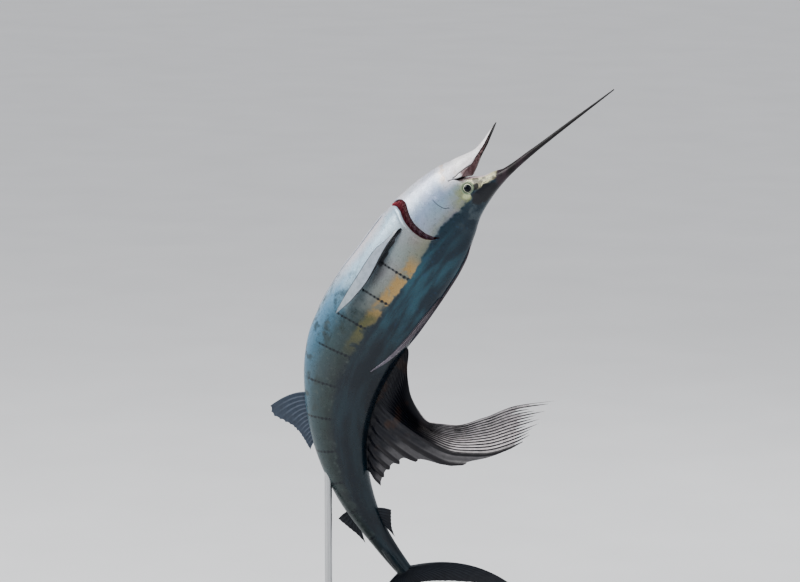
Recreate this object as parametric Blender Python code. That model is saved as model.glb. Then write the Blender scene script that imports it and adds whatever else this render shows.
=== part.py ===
# A sailfish leaping head up, made as a still life-size display model on a plain stand.
# Metres, +Z up, the middle of the base's underside at the origin.
# The fish is laid out along a curved spine: s runs back from the tip of the bill,
# h is height toward the back of the fish, l is the offset toward its left flank.
import math

import bmesh
import bpy
import numpy as np
from mathutils.bvhtree import BVHTree

for old in list(bpy.data.objects):
    bpy.data.objects.remove(old, do_unlink=True)

MM = 0.001
GAP = 0.3 * MM                       # air left between neighbouring pieces
RING = 32                            # points round a slice of the body

BILL_TIP = (0.971, 0.0, 2.410)
# Spine: distance from the bill tip, pitch and yaw of the forward direction in degrees.
SPINE = (
    (0.00, 38.0, 0.0), (0.57, 39.0, 0.0), (0.70, 43.0, 0.0), (0.90, 50.0, 0.0),
    (1.05, 54.0, 0.0), (1.30, 57.0, 0.0), (1.45, 62.0, -2.0), (1.60, 71.0, -6.0),
    (1.75, 82.0, -10.0), (1.90, 93.0, -14.0), (2.10, 106.0, -18.0), (2.30, 117.0, -20.0),
    (2.45, 121.0, -20.0), (2.90, 121.0, -20.0),
)
# Profile of the body: height of the back, height of the belly, half of the width.
BACK = (
    (0.00, 0.0014), (0.07, 0.0022), (0.22, 0.0026), (0.37, 0.0034), (0.42, 0.0048),
    (0.48, 0.0078), (0.53, 0.0120), (0.59, 0.0215), (0.65, 0.0350), (0.73, 0.0580),
    (0.80, 0.0900), (0.90, 0.1240), (0.99, 0.1370), (1.10, 0.1405), (1.25, 0.1390),
    (1.45, 0.1280), (1.65, 0.1080), (1.85, 0.0810), (2.05, 0.0570), (2.25, 0.0370),
    (2.42, 0.0300),
)
BELLY = (
    (0.706, -0.1800), (0.722, -0.1862), (0.78, -0.2000), (0.85, -0.2130), (0.92, -0.2210),
    (1.05, -0.2260), (1.14, -0.2290), (1.24, -0.2370), (1.36, -0.2400), (1.47, -0.2360),
    (1.56, -0.2180), (1.68, -0.1820), (1.80, -0.1490), (1.95, -0.1130), (2.10, -0.0800),
    (2.25, -0.0500), (2.42, -0.0310),
)
UPPER_LIP = (
    (0.00, -0.0026), (0.07, -0.0045), (0.22, -0.0098), (0.37, -0.0140), (0.42, -0.0165),
    (0.48, -0.0185), (0.53, -0.0230), (0.57, -0.0370), (0.61, -0.0510), (0.65, -0.0760),
    (0.68, -0.0960), (0.706, -0.1120),
)
HALF = (
    (0.00, 0.0018), (0.07, 0.0042), (0.22, 0.0074), (0.37, 0.0102), (0.48, 0.0155),
    (0.56, 0.0250), (0.62, 0.0345), (0.68, 0.0450), (0.75, 0.0560), (0.85, 0.0700),
    (0.95, 0.0800), (1.10, 0.0890), (1.30, 0.0930), (1.50, 0.0880), (1.70, 0.0770),
    (1.90, 0.0600), (2.10, 0.0430), (2.25, 0.0310), (2.42, 0.0230),
)
FULLNESS = 0.92                      # under 1 fills the corners of a slice out
# Rear edge of the gill cover and front edge of the shoulder behind it, by degrees from the back.
GILL_EDGE = (
    (0.0, 0.8740, 0.8740), (67.5, 0.8765, 0.8765), (78.75, 0.8920, 0.9120),
    (90.0, 0.9030, 0.9310), (101.25, 0.9055, 0.9360), (112.5, 0.9000, 0.9350),
    (123.75, 0.8880, 0.9290), (135.0, 0.8760, 0.9190), (146.25, 0.8780, 0.9130),
    (157.5, 0.8880, 0.9130), (168.75, 0.9060, 0.9150), (180.0, 0.9140, 0.9140),
)
GILL_DEPTH = 16 * MM
# Lower jaw, hanging open: underside, rim, half of the width.
JAW = (
    (0.4535, -0.1750, -0.1722, 0.0016), (0.475, -0.1688, -0.1612, 0.0062),
    (0.505, -0.1600, -0.1475, 0.0112), (0.540, -0.1510, -0.1312, 0.0165),
    (0.580, -0.1450, -0.1172, 0.0240), (0.620, -0.1530, -0.1015, 0.0340),
    (0.648, -0.1618, -0.0925, 0.0395), (0.667, -0.1673, -0.0905, 0.0430),
    (0.690, -0.1750, -0.1060, 0.0470), (0.7055, -0.1858, -0.1105, 0.0500),
)
JAW_BLENDS = (0.635, 0.700)           # where the jaw's flanks turn into the head's
THROAT_SLANT = (0.706, -0.112, 0.721, -0.186)


def smooth(table, s):
    """Curve through the rows of a table that never overshoots them."""
    rows = np.asarray(table, float)
    x, y = rows[:, 0], rows[:, 1:]
    slope = np.diff(y, axis=0) / np.diff(x)[:, None]
    before, after = slope[:-1], slope[1:]
    same = before * after > 0
    total = np.where(same, before + after, 1.0)
    inner = np.where(same, 2 * before * after / total, 0.0)
    tangent = np.vstack([slope[:1], inner, slope[-1:]])
    s = min(max(float(s), x[0]), x[-1])
    i = min(max(int(np.searchsorted(x, s, side="right")) - 1, 0), len(x) - 2)
    w = x[i + 1] - x[i]
    t = (s - x[i]) / w
    out = (1 + 2 * t) * (1 - t) ** 2 * y[i] + t * (1 - t) ** 2 * w * tangent[i]
    out = out + t * t * (3 - 2 * t) * y[i + 1] + t * t * (t - 1) * w * tangent[i + 1]
    return out if len(out) > 1 else float(out[0])


SPINE_STEP = 0.001
_path = [np.array(BILL_TIP)]
for _i in range(2900):
    _p, _y = np.radians(smooth(SPINE, (_i + 0.5) * SPINE_STEP))
    _ahead = np.array((math.cos(_p) * math.cos(_y), math.sin(_y), math.sin(_p) * math.cos(_y)))
    _path.append(_path[-1] - _ahead * SPINE_STEP)
SPINE_PATH = np.array(_path)


def frame(s):
    """Point of the spine with its forward, dorsal and left directions."""
    pitch, yaw = np.radians(smooth(SPINE, s))
    k = min(max(s / SPINE_STEP, 0.0), len(SPINE_PATH) - 1.001)
    i = int(k)
    point = SPINE_PATH[i] + (SPINE_PATH[i + 1] - SPINE_PATH[i]) * (k - i)
    ahead = np.array((math.cos(pitch) * math.cos(yaw), math.sin(yaw), math.sin(pitch) * math.cos(yaw)))
    dorsal = np.array((math.sin(pitch), 0.0, -math.cos(pitch)))
    return point, ahead, dorsal, np.cross(dorsal, ahead)


def at(s, h, l=0.0):
    point, _, dorsal, left = frame(s)
    return point + dorsal * h + left * l


def power(value, exponent):
    return math.copysign(abs(value) ** exponent, value)


def slice_size(s, jaw):
    low = smooth(UPPER_LIP, s) if jaw else smooth(BELLY, s)
    return smooth(BACK, s), low, smooth(HALF, s)


def skin(s, angle, inset=0.0, jaw=False):
    """Point of the body's outline at an angle round from the back toward the left."""
    top, low, half = slice_size(s, jaw)
    middle = 0.5 * (top + low)
    reach = max(0.5 * (top - low) - inset, 0.0)
    h = middle + reach * power(math.cos(angle), FULLNESS)
    l = max(half - inset, 0.0) * power(math.sin(angle), FULLNESS)
    return at(s, h, l)


def flank_width(s, h, low):
    """Half width of the body's outline at a height, where it reaches down to low."""
    top = smooth(BACK, s)
    c = min(abs((h - 0.5 * (top + low)) / (0.5 * (top - low))), 1.0) ** (1.0 / FULLNESS)
    return smooth(HALF, s) * math.sqrt(1.0 - c * c) ** FULLNESS


def circle(count=RING):
    return [2 * math.pi * k / count for k in range(count)]


# Materials of the raw solids.
def material(name, colour, rough, metal=0.0):
    made = bpy.data.materials.new(name)
    made.use_nodes = True
    made.diffuse_color = (*colour, 1.0)
    shader = made.node_tree.nodes["Principled BSDF"]
    shader.inputs["Base Color"].default_value = (*colour, 1.0)
    shader.inputs["Roughness"].default_value = rough
    shader.inputs["Metallic"].default_value = metal
    return made


ROOT = bpy.data.objects.new("sailfish_display", None)
bpy.context.scene.collection.objects.link(ROOT)
NODES = {}


def largest_part(bm):
    """Keeps only the largest closed surface."""
    left = set(bm.faces)
    parts = []
    while left:
        seed = left.pop()
        part, queue = {seed}, [seed]
        while queue:
            face = queue.pop()
            for edge in face.edges:
                for other in edge.link_faces:
                    if other in left:
                        left.discard(other)
                        part.add(other)
                        queue.append(other)
        parts.append(part)
    parts.sort(key=len)
    for part in parts[:-1]:
        bmesh.ops.delete(bm, geom=list(part), context="FACES")
    loose = [v for v in bm.verts if not v.link_faces]
    bmesh.ops.delete(bm, geom=loose, context="VERTS")


def face_outward(bm):
    bmesh.ops.recalc_face_normals(bm, faces=bm.faces[:])
    if bm.calc_volume(signed=True) < 0:
        bmesh.ops.reverse_faces(bm, faces=bm.faces[:])


def mesh_object(name, bm, stuff, origin, sharp=35.0):
    """Closed mesh as an object placed at its own origin, under the root."""
    bmesh.ops.triangulate(bm, faces=bm.faces[:], quad_method="FIXED")
    face_outward(bm)
    bmesh.ops.translate(bm, vec=[-c for c in origin], verts=bm.verts[:])
    mesh = bpy.data.meshes.new(name)
    bm.to_mesh(mesh)
    bm.free()
    mesh.materials.append(stuff)
    mesh.shade_smooth()
    mesh.set_sharp_from_angle(angle=math.radians(sharp))
    made = bpy.data.objects.new(name, mesh)
    made.location = origin
    made.parent = ROOT
    bpy.context.scene.collection.objects.link(made)
    NODES[name] = made
    return made


def loft(rings, closed_ends=True):
    """Skins a row of equal rings; an end ring is closed by one face."""
    bm = bmesh.new()
    rows = [[bm.verts.new(p) for p in ring] for ring in rings]
    count = len(rows[0])
    for a, b in zip(rows[:-1], rows[1:]):
        for k in range(count):
            n = (k + 1) % count
            bm.faces.new((a[k], a[n], b[n], b[k]))
    if closed_ends:
        for row, turn in ((rows[0], 1), (rows[-1], -1)):
            hub = bm.verts.new(np.mean([v.co for v in row], axis=0))
            for k in range(count):
                pair = (row[(k + 1) % count], row[k])[::turn]
                bm.faces.new((hub, *pair))
    return bm


def vane(middle, half, foot_normals=None):
    """Thin closed sheet: a grid of middle points with half of the thickness at each."""
    middle = np.asarray(middle, float)
    half = np.asarray(half, float)
    across = np.gradient(middle, axis=0)
    along = np.gradient(middle, axis=1)
    normal = np.cross(across, along)
    normal /= np.linalg.norm(normal, axis=2)[:, :, None]
    if foot_normals is not None:
        for i, side in enumerate(foot_normals):
            normal[i, 0] = side if side @ normal[i, 0] > 0 else -side
    nu, nv = half.shape
    bm = bmesh.new()
    front = middle + normal * half[:, :, None]
    back = middle - normal * half[:, :, None]
    f = [[bm.verts.new(front[i, j]) for j in range(nv)] for i in range(nu)]
    b = [[bm.verts.new(back[i, j]) for j in range(nv)] for i in range(nu)]
    for i in range(nu - 1):
        for j in range(nv - 1):
            bm.faces.new((f[i][j], f[i + 1][j], f[i + 1][j + 1]))
            bm.faces.new((f[i][j], f[i + 1][j + 1], f[i][j + 1]))
            bm.faces.new((b[i][j], b[i + 1][j + 1], b[i + 1][j]))
            bm.faces.new((b[i][j], b[i][j + 1], b[i + 1][j + 1]))
    for i in range(nu - 1):
        bm.faces.new((f[i + 1][0], f[i][0], b[i][0], b[i + 1][0]))
        bm.faces.new((f[i][nv - 1], f[i + 1][nv - 1], b[i + 1][nv - 1], b[i][nv - 1]))
    for j in range(nv - 1):
        bm.faces.new((f[0][j], f[0][j + 1], b[0][j + 1], b[0][j]))
        bm.faces.new((f[nu - 1][j + 1], f[nu - 1][j], b[nu - 1][j], b[nu - 1][j + 1]))
    return bm


def tree_of(*names):
    """Search tree over the finished surface of some nodes."""
    verts, faces = [], []
    for name in names:
        made = NODES[name]
        base = len(verts)
        verts += [made.location + v.co for v in made.data.vertices]
        faces += [[base + k for k in p.vertices] for p in made.data.polygons]
    return BVHTree.FromPolygons(verts, faces)


def land(tree, start, direction, gap=GAP):
    """First surface met from a point along a direction, stopping short by the gap."""
    direction = np.asarray(direction, float)
    direction = direction / np.linalg.norm(direction)
    hit = tree.ray_cast(start.tolist(), direction.tolist())
    return np.array(hit[0]) - direction * gap


def unit(v):
    return v / np.linalg.norm(v)


def combine(target, tools, operation="DIFFERENCE"):
    """Applies one Boolean of closed mesh objects on a node and keeps its main surface."""
    group = bpy.data.collections.new("forms")
    bpy.context.scene.collection.children.link(group)
    for tool in tools:
        bpy.context.scene.collection.objects.unlink(tool)
        group.objects.link(tool)
        tool.hide_render = True
        tool.display_type = "WIRE"
    change = target.modifiers.new("forms", "BOOLEAN")
    change.operand_type = "COLLECTION"
    change.collection = group
    change.operation = operation
    change.solver = "EXACT"
    target.update_tag()
    bpy.context.view_layer.update()
    graph = bpy.context.evaluated_depsgraph_get()
    result = bpy.data.meshes.new_from_object(target.evaluated_get(graph))
    target.modifiers.clear()
    bm = bmesh.new()
    bm.from_mesh(result)
    bmesh.ops.remove_doubles(bm, verts=bm.verts[:], dist=0.01 * MM)
    largest_part(bm)
    bm.to_mesh(result)
    bm.free()
    target.data = result
    for tool in tools:
        bpy.data.objects.remove(tool, do_unlink=True)
    bpy.data.collections.remove(group)
    target.data.shade_smooth()
    target.data.set_sharp_from_angle(angle=math.radians(35.0))


flank_stuff = material("silver_flank_skin", (0.42, 0.50, 0.54), 0.30, 0.3)
head_stuff = material("head_skin", (0.50, 0.52, 0.55), 0.32, 0.2)
bill_stuff = material("bill_skin", (0.06, 0.035, 0.035), 0.40)
gill_stuff = material("gill_filaments", (0.22, 0.02, 0.03), 0.35)
eye_stuff = material("eye_ball", (0.015, 0.02, 0.025), 0.08)
sail_stuff = material("sail_membrane", (0.025, 0.022, 0.026), 0.40)
pale_fin_stuff = material("pale_fin", (0.55, 0.60, 0.62), 0.35, 0.1)
dark_fin_stuff = material("dark_fin", (0.05, 0.06, 0.075), 0.40)
stand_stuff = material("stand_painted", (0.05, 0.05, 0.055), 0.45)
rod_stuff = material("stand_rod_steel", (0.55, 0.56, 0.58), 0.30, 1.0)

# Bill: a long round spear from its tip back to the head.
BILL_ROOT = 0.560
BILL_RING = 16
bill_rings = []
for s in (0.0, 0.004, 0.03, 0.07, 0.12, 0.18, 0.24, 0.30, 0.36, 0.41, 0.45, 0.49, 0.525, BILL_ROOT):
    shrink = 0.55 if s == 0.0 else 1.0
    top, low, half = slice_size(s, True)
    middle = 0.5 * (top + low)
    ring = []
    for angle in circle(BILL_RING):
        h = middle + shrink * 0.5 * (top - low) * math.cos(angle)
        ring.append(at(s, h, shrink * half * math.sin(angle)))
    bill_rings.append(ring)
mesh_object("bill", loft(bill_rings), bill_stuff, at(BILL_ROOT, 0.0), 50.0)


# Head: from the bill to the edge of the gill cover, with the roof of the mouth in front.
def gill_edge(angle):
    degrees = math.degrees(angle) % 360.0
    degrees = 360.0 - degrees if degrees > 180.0 else degrees
    table = np.array(GILL_EDGE)
    return np.array([np.interp(degrees, table[:, 0], table[:, c]) for c in (1, 2)])


def shares_seam(angle):
    head_side, body_side = gill_edge(angle)
    return 0.5 * (head_side + body_side)


CHEEK_END = 0.7045
PALATE_RISE = 2 * MM


def cheek_ring(s):
    """Slice of the body cut off level with the upper lip."""
    top, low, half = slice_size(s, False)
    lip = smooth(UPPER_LIP, s)
    corner = flank_width(s, lip, low)
    ring = []
    for a in circle():
        h = 0.5 * (top + low) + 0.5 * (top - low) * power(math.cos(a), FULLNESS)
        l = half * power(math.sin(a), FULLNESS)
        if h < lip:
            share = (lip - h) / (lip - low)
            h = lip + PALATE_RISE * share
            l = math.copysign(corner * (1.0 - share) ** 0.8, l) if share < 0.999 else 0.0
        ring.append(at(s, h, l))
    return ring


head_rings = []
for s in (BILL_ROOT + GAP, 0.585, 0.610, 0.635, 0.660, 0.685):
    head_rings.append([skin(s, a, jaw=True) for a in circle()])
head_rings.append(cheek_ring(CHEEK_END))
s0, h0, s1, h1 = THROAT_SLANT
wall = []
for a in circle():
    below = max(-math.cos(a), 0.0)
    wall.append(skin(s0 + (s1 - s0) * below, a))
head_rings.append(wall)
for s in (0.745, 0.775, 0.805, 0.835):
    head_rings.append([skin(s, a) for a in circle()])
head_rings.append([skin(0.5 * (0.835 + gill_edge(a)[0]), a) for a in circle()])
head_rings.append([skin(gill_edge(a)[0], a) for a in circle()])
head_rings.append([skin(shares_seam(a), a, GILL_DEPTH) for a in circle()])
mesh_object("head", loft(head_rings), head_stuff, at(0.75, -0.05))

# Body behind the gill opening, in four lengths.
front_rings = [[skin(shares_seam(a) + GAP, a, GILL_DEPTH) for a in circle()]]
front_rings.append([skin(gill_edge(a)[1] + GAP, a) for a in circle()])
for s in (0.965, 1.00, 1.04, 1.09, 1.14, 1.19):
    front_rings.append([skin(s, a) for a in circle()])
mesh_object("torso_front", loft(front_rings), flank_stuff, at(1.05, -0.05))
LENGTHS = (
    ("torso_mid", 1.19 + GAP, (1.24, 1.30, 1.36, 1.42, 1.475), 1.52),
    ("torso_rear", 1.52 + GAP, (1.565, 1.62, 1.68, 1.74, 1.80), 1.86),
    ("tail_stock", 1.86 + GAP, (1.92, 1.98, 2.04, 2.10, 2.16, 2.22, 2.28, 2.34, 2.38), 2.42),
)
for name, begin, inner, end in LENGTHS:
    rings = [[skin(s, a) for a in circle()] for s in (begin, *inner, end)]
    mesh_object(name, loft(rings), flank_stuff, at(0.5 * (begin + end), 0.0))

# Lower jaw: an open trough of two rami and a floor.
jaw_rings = []
for row in JAW:
    s, low, rim, half = row
    depth = rim - low
    wallness = min(max((s - 0.47) / 0.10, 0.0), 1.0)
    lip = half * (1.0 - 0.72 * wallness)
    floor = rim - depth * (0.15 + 0.40 * wallness)
    ring = []
    blend = min(max((s - JAW_BLENDS[0]) / (JAW_BLENDS[1] - JAW_BLENDS[0]), 0.0), 1.0)
    for k in range(11):
        a = math.pi * k / 10
        h = rim - depth * power(math.sin(a), 0.8)
        own = half * power(math.cos(a), 0.8)
        shared = math.copysign(flank_width(s, h, low), math.cos(a))
        ring.append((s, h, own + (shared - own) * blend))
    for k in range(1, 8):
        a = math.pi * k / 8
        inner = half - lip if wallness > 0 else half * 0.6
        inner = max(inner, half * 0.28)
        ring.append((s, rim - (rim - floor) * power(math.sin(a), 0.7), -inner * power(math.cos(a), 0.9)))
    if row is JAW[-1]:
        ring = [(s0 + (s1 - s0) * (h - h0) / (h1 - h0) - 0.0012, h, l) for _, h, l in ring]
    jaw_rings.append([at(*p) for p in ring])
mesh_object("lower_jaw", loft(jaw_rings), head_stuff, at(0.70, -0.14))

EYE_AT = (0.676, -0.045)             # distance back and height of the middle of the eye
EYE_ACROSS = 17.5 * MM
EYE_BULGE = 10.5 * MM
EYE_SUNK = 4.0 * MM
EYE_RIM = (20.0 * MM, 2.4 * MM)      # radius of the rim round the eye and its thickness
HEAD_LIP = (0.574, 0.688)            # the lips' ends
JAW_LIP = (0.508, 0.658)
LIP_STEPS = 8
NOSTRILS = ((0.6075, -0.0215), (0.6170, -0.0225))
NOSTRIL_RADIUS = 2.3 * MM
CHEEK_LINE = ((0.800, -0.104), (0.7985, -0.082), (0.794, -0.062), (0.787, -0.047), (0.773, -0.037))
CHEEK_GROOVE = 1.6 * MM
PALATE = ((0.612, -0.053), (0.700, -0.109), 19.0 * MM, 9.0 * MM)   # ends, half width, depth


def dome(spot, facing, upward, wide, tall, bulge, segments=20, rings=10):
    """Flattened ball facing out from a spot."""
    bm = bmesh.new()
    bmesh.ops.create_uvsphere(bm, u_segments=segments, v_segments=rings, radius=1.0)
    side = unit(np.cross(upward, facing))
    high = np.cross(facing, side)
    for v in bm.verts:
        x, y, z = v.co
        v.co = spot + side * (x * wide) + high * (y * tall) + facing * (z * bulge)
    return bm


def loose_object(bm, name="tool"):
    face_outward(bm)
    mesh = bpy.data.meshes.new(name)
    bm.to_mesh(mesh)
    bm.free()
    made = bpy.data.objects.new(name, mesh)
    bpy.context.scene.collection.objects.link(made)
    return made


def tube(points, radii, sides=6, closed=False):
    """Round cord along a row of points."""
    points = [np.array(p, float) for p in points]
    count = len(points)
    rings = []
    guide = np.array((0.12, 1.0, 0.07))
    for i, p in enumerate(points):
        after = points[(i + 1) % count] if closed or i + 1 < count else p
        before = points[i - 1] if closed or i > 0 else p
        ahead = unit(after - before)
        side = unit(np.cross(guide, ahead))
        high = np.cross(ahead, side)
        rings.append([p + (side * math.cos(t) + high * math.sin(t)) * radii[i] for t in circle(sides)])
    if not closed:
        return loft(rings)
    bm = bmesh.new()
    rows = [[bm.verts.new(q) for q in ring] for ring in rings]
    for i in range(count):
        a, b = rows[i], rows[(i + 1) % count]
        for k in range(sides):
            n = (k + 1) % sides
            bm.faces.new((a[k], a[n], b[n], b[k]))
    return bm


# Lips and eye rims are raised on the jaws and the head, then the eyes' sockets, the nostrils, the
# line of the cheek and the roof of the mouth are cut.
head_tree = tree_of("head")


def face_point(s, h, side, gap=0.0):
    return land(head_tree, at(s, h, 0.2 * side), -frame(s)[3] * side, gap)


raised, sunk, jaw_lips, eye_places = [], [], [], []
for side, word in ((1, "left"), (-1, "right")):
    rim = []
    for t in circle(18):
        spot = EYE_AT[0] - EYE_RIM[0] * math.cos(t), EYE_AT[1] + EYE_RIM[0] * math.sin(t)
        rim.append(face_point(*spot, side, -0.9 * MM))
    raised.append(loose_object(tube(rim, [EYE_RIM[1]] * len(rim), closed=True)))
    lip, thick = [], []
    for k in range(LIP_STEPS + 1):
        share = k / LIP_STEPS
        s = HEAD_LIP[0] + (HEAD_LIP[1] - HEAD_LIP[0]) * share
        lip.append(face_point(s, smooth(UPPER_LIP, s) + 5.5 * MM, side, -1.4 * MM))
        thick.append((1.2 + 1.9 * math.sin(math.pi * min(share * 0.8 + 0.1, 1.0))) * MM)
    raised.append(loose_object(tube(lip, thick)))
    lip, thick = [], []
    for k in range(LIP_STEPS + 1):
        share = k / LIP_STEPS
        s = JAW_LIP[0] + (JAW_LIP[1] - JAW_LIP[0]) * share
        _, rim_height, half = smooth(JAW, s)
        lip.append(at(s, rim_height + 0.2 * MM, side * (half - (1.6 + 1.4 * share) * MM)))
        thick.append((1.3 + 1.5 * math.sin(math.pi * min(share * 0.8 + 0.1, 1.0))) * MM)
    jaw_lips.append(loose_object(tube(lip, thick)))
    _, ahead, dorsal, left = frame(EYE_AT[0])
    facing = unit(left * side + ahead * 0.16 + dorsal * 0.12)
    centre = face_point(*EYE_AT, side) - facing * EYE_SUNK
    eye_places.append((word, centre, facing, ahead))
    socket = EYE_ACROSS + GAP
    sunk.append(loose_object(dome(centre, facing, ahead, socket, socket, EYE_BULGE + GAP)))
    for s, h in NOSTRILS:
        spot = face_point(s, h, side)
        hole = dome(spot, frame(s)[3] * side, frame(s)[1], *[NOSTRIL_RADIUS] * 3, 8, 6)
        sunk.append(loose_object(hole))
    groove = [face_point(s, h, side, 0.3 * MM) for s, h in CHEEK_LINE]
    sunk.append(loose_object(tube(groove, [0.5 * CHEEK_GROOVE, *[CHEEK_GROOVE] * 3, 0.5 * CHEEK_GROOVE])))
front_end, rear_end, palate_half, palate_depth = PALATE
ends = [at(*front_end), at(*rear_end)]
lengthwise = unit(ends[1] - ends[0])
palate_length = 0.5 * np.linalg.norm(ends[1] - ends[0])
facing = np.cross(lengthwise, frame(0.65)[3])
sunk.append(loose_object(dome(
    0.5 * (ends[0] + ends[1]), facing, lengthwise, palate_half, palate_length, palate_depth, 16, 8)))
combine(NODES["head"], raised, "UNION")
combine(NODES["head"], sunk)
combine(NODES["lower_jaw"], jaw_lips, "UNION")
for word, centre, facing, ahead in eye_places:
    ball = dome(centre, facing, ahead, EYE_ACROSS, EYE_ACROSS, EYE_BULGE)
    mesh_object("eye_" + word, ball, eye_stuff, centre, 60.0)

# Gills: a band of filaments in the slot behind each gill cover.
FILAMENTS = 20
GILL_FROM, GILL_TO = 76.0, 154.0     # degrees round from the back
GILL_CLEAR = 1.5 * MM


def gill_wall(degrees, depth, rear):
    """Point on one wall of the gill slot, straight between neighbouring points of a slice."""
    step = 360.0 / RING
    k = int(degrees / step)
    share = degrees / step - k
    ends = []
    for n in (k, k + 1):
        angle = math.radians(n * step)
        edge = gill_edge(angle)[1 if rear else 0]
        s = edge + (shares_seam(angle) - edge) * depth / GILL_DEPTH
        ends.append(skin(s - GILL_CLEAR if rear else s + 2 * GILL_CLEAR, angle, depth))
    return ends[0] * (1.0 - share) + ends[1] * share


for side, word in ((1, "left"), (-1, "right")):
    rings = []
    for k in range(2 * FILAMENTS + 1):
        degrees = GILL_FROM + (GILL_TO - GILL_FROM) * k / (2 * FILAMENTS)
        crest = 2.2 * MM if k % 2 else 5.5 * MM
        face = [gill_wall(degrees, 5.0 * MM, False), gill_wall(degrees, 5.0 * MM, True)]
        raised = [gill_wall(degrees, crest, False), gill_wall(degrees, crest, True)]
        deep = [gill_wall(degrees, 9.5 * MM, True), gill_wall(degrees, 9.5 * MM, False)]
        ring = [face[0], raised[0] * 0.68 + raised[1] * 0.32, raised[0] * 0.32 + raised[1] * 0.68, face[1], *deep]
        if side < 0:
            mirrored = []
            for p in ring:
                mirrored.append(np.array((p[0], -p[1], p[2])))
            ring = mirrored
        rings.append(ring)
    mesh_object("gill_" + word, loft(rings), gill_stuff, at(0.91, -0.08, 0.07 * side), 20.0)


# Keels: two low ridges on each side of the end of the tail.
KEEL_SPAN = (2.290, 2.411)
KEEL_HEIGHT = 11.5 * MM
KEEL_SIZE = 5.0 * MM
stock_tree = tree_of("tail_stock")
keels = []
for side in (1, -1):
    for high in (1, -1):
        line, thick = [], []
        for k in range(7):
            share = k / 6
            s = KEEL_SPAN[0] + (KEEL_SPAN[1] - KEEL_SPAN[0]) * share
            start = at(s, high * KEEL_HEIGHT * (1.25 - 0.35 * share), 0.1 * side)
            line.append(land(stock_tree, start, -frame(s)[3] * side, -1.0 * MM))
            thick.append(KEEL_SIZE * (0.25 + 0.75 * math.sin(math.pi * min(0.12 + 0.62 * share, 1.0))))
        keels.append(loose_object(tube(line, thick)))
combine(NODES["tail_stock"], keels, "UNION")

# Fins: sheets with a ridge for each ray.
def ray_fin(name, stuff, rays, rows, middle, thick, ridge, pleat=0.0, row_at=None, seat=None, foot=None):
    """Sheet from its base (v = 0) to its edge (v = 1) with one ridge for each ray.

    A seat is a search tree and the outward direction; the foot then follows that skin.
    A foot gives the distance back of each foot on the middle line, where the sheet stands upright.
    """
    columns = 2 * rays - 1
    grid, half, fold = [], [], []
    for i in range(columns):
        u = i / (columns - 1)
        line, wide, folds = [], [], []
        for j in range(rows):
            v = j / (rows - 1)
            v = row_at(v) if row_at else v
            line.append(middle(u, v))
            wide.append(0.5 * thick(u, v) + (0.5 * ridge(v) if i % 2 == 0 else 0.0))
            folds.append(pleat(v) * (1 if i % 2 == 0 else -1) if pleat else 0.0)
        grid.append(line)
        half.append(wide)
        fold.append(folds)
    grid = np.array(grid)
    if pleat:
        across = np.gradient(grid, axis=0)
        along = np.gradient(grid, axis=1)
        normal = np.cross(across, along)
        normal /= np.linalg.norm(normal, axis=2)[:, :, None]
        grid = grid + normal * np.array(fold)[:, :, None]
    origin = grid[columns // 2][0]
    sides = [frame(foot(i / (columns - 1)))[3] for i in range(columns)] if foot else None
    bm = vane(grid, half, sides)
    if seat:
        bm.verts.ensure_lookup_table()
        for face in range(2):
            for i in range(columns):
                vert = bm.verts[(face * columns + i) * rows]
                out = seat[1](i / (columns - 1))
                vert.co = land(seat[0], np.array(vert.co) + out * 0.04, -out)
    return mesh_object(name, bm, stuff, origin, 25.0)


def midline_root(tree, s, upward, gap=GAP):
    """Foot of a fin on the middle line of the back or the belly."""
    _, _, dorsal, _ = frame(s)
    reach = 0.30 if upward else -0.36
    return land(tree, at(s, reach), dorsal * (-1 if upward else 1), gap)


def upright_fin(name, tree, stuff, begin, end, shape, upward, rays, rows, base_thick):
    """Fin on the middle line; shape gives height and sweep back of the ray tips by share of base."""
    sign = 1.0 if upward else -1.0

    def middle(u, v):
        s = begin + (end - begin) * u
        root = midline_root(tree, s, upward)
        _, ahead, dorsal, _ = frame(s)
        height, sweep = smooth(shape, u)
        return root + dorsal * (sign * height * v) - ahead * (sweep * (0.35 * v + 0.65 * v * v))

    def thick(u, v):
        return (base_thick * (1.0 - v) + 1.0 * MM * v) * (1.15 - 0.3 * u)

    ray_fin(
        name, stuff, rays, rows, middle, thick, lambda v: (1.6 - 0.9 * v) * MM,
        foot=lambda u: begin + (end - begin) * u,
    )


body_tree = tree_of("torso_front", "torso_mid", "torso_rear", "tail_stock")
SECOND_DORSAL = ((0.0, 0.052, 0.022), (0.3, 0.040, 0.030), (0.7, 0.022, 0.042), (1.0, 0.014, 0.060))
upright_fin("second_dorsal_fin", body_tree, dark_fin_stuff, 2.135, 2.215, SECOND_DORSAL, True, 6, 5, 6 * MM)
upright_fin("second_anal_fin", body_tree, dark_fin_stuff, 2.120, 2.200, SECOND_DORSAL, False, 6, 5, 6 * MM)
FIRST_ANAL = (
    (0.0, 0.142, 0.105), (0.12, 0.138, 0.112), (0.28, 0.098, 0.088), (0.45, 0.064, 0.066),
    (0.70, 0.040, 0.048), (1.0, 0.024, 0.040),
)
upright_fin("first_anal_fin", body_tree, pale_fin_stuff, 1.690, 1.850, FIRST_ANAL, False, 9, 8, 7 * MM)

# Tail fin: a lobe above and a lobe below the end of the tail.
TAIL_END = 2.42
TAIL_EDGE = (
    (0.0, 0.250, 0.365), (0.15, 0.213, 0.300), (0.30, 0.170, 0.222), (0.50, 0.121, 0.132),
    (0.70, 0.090, 0.066), (0.85, 0.077, 0.030), (1.0, 0.072, 0.0),
)
TAIL_ROOT_HALF = 29.0 * MM


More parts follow.
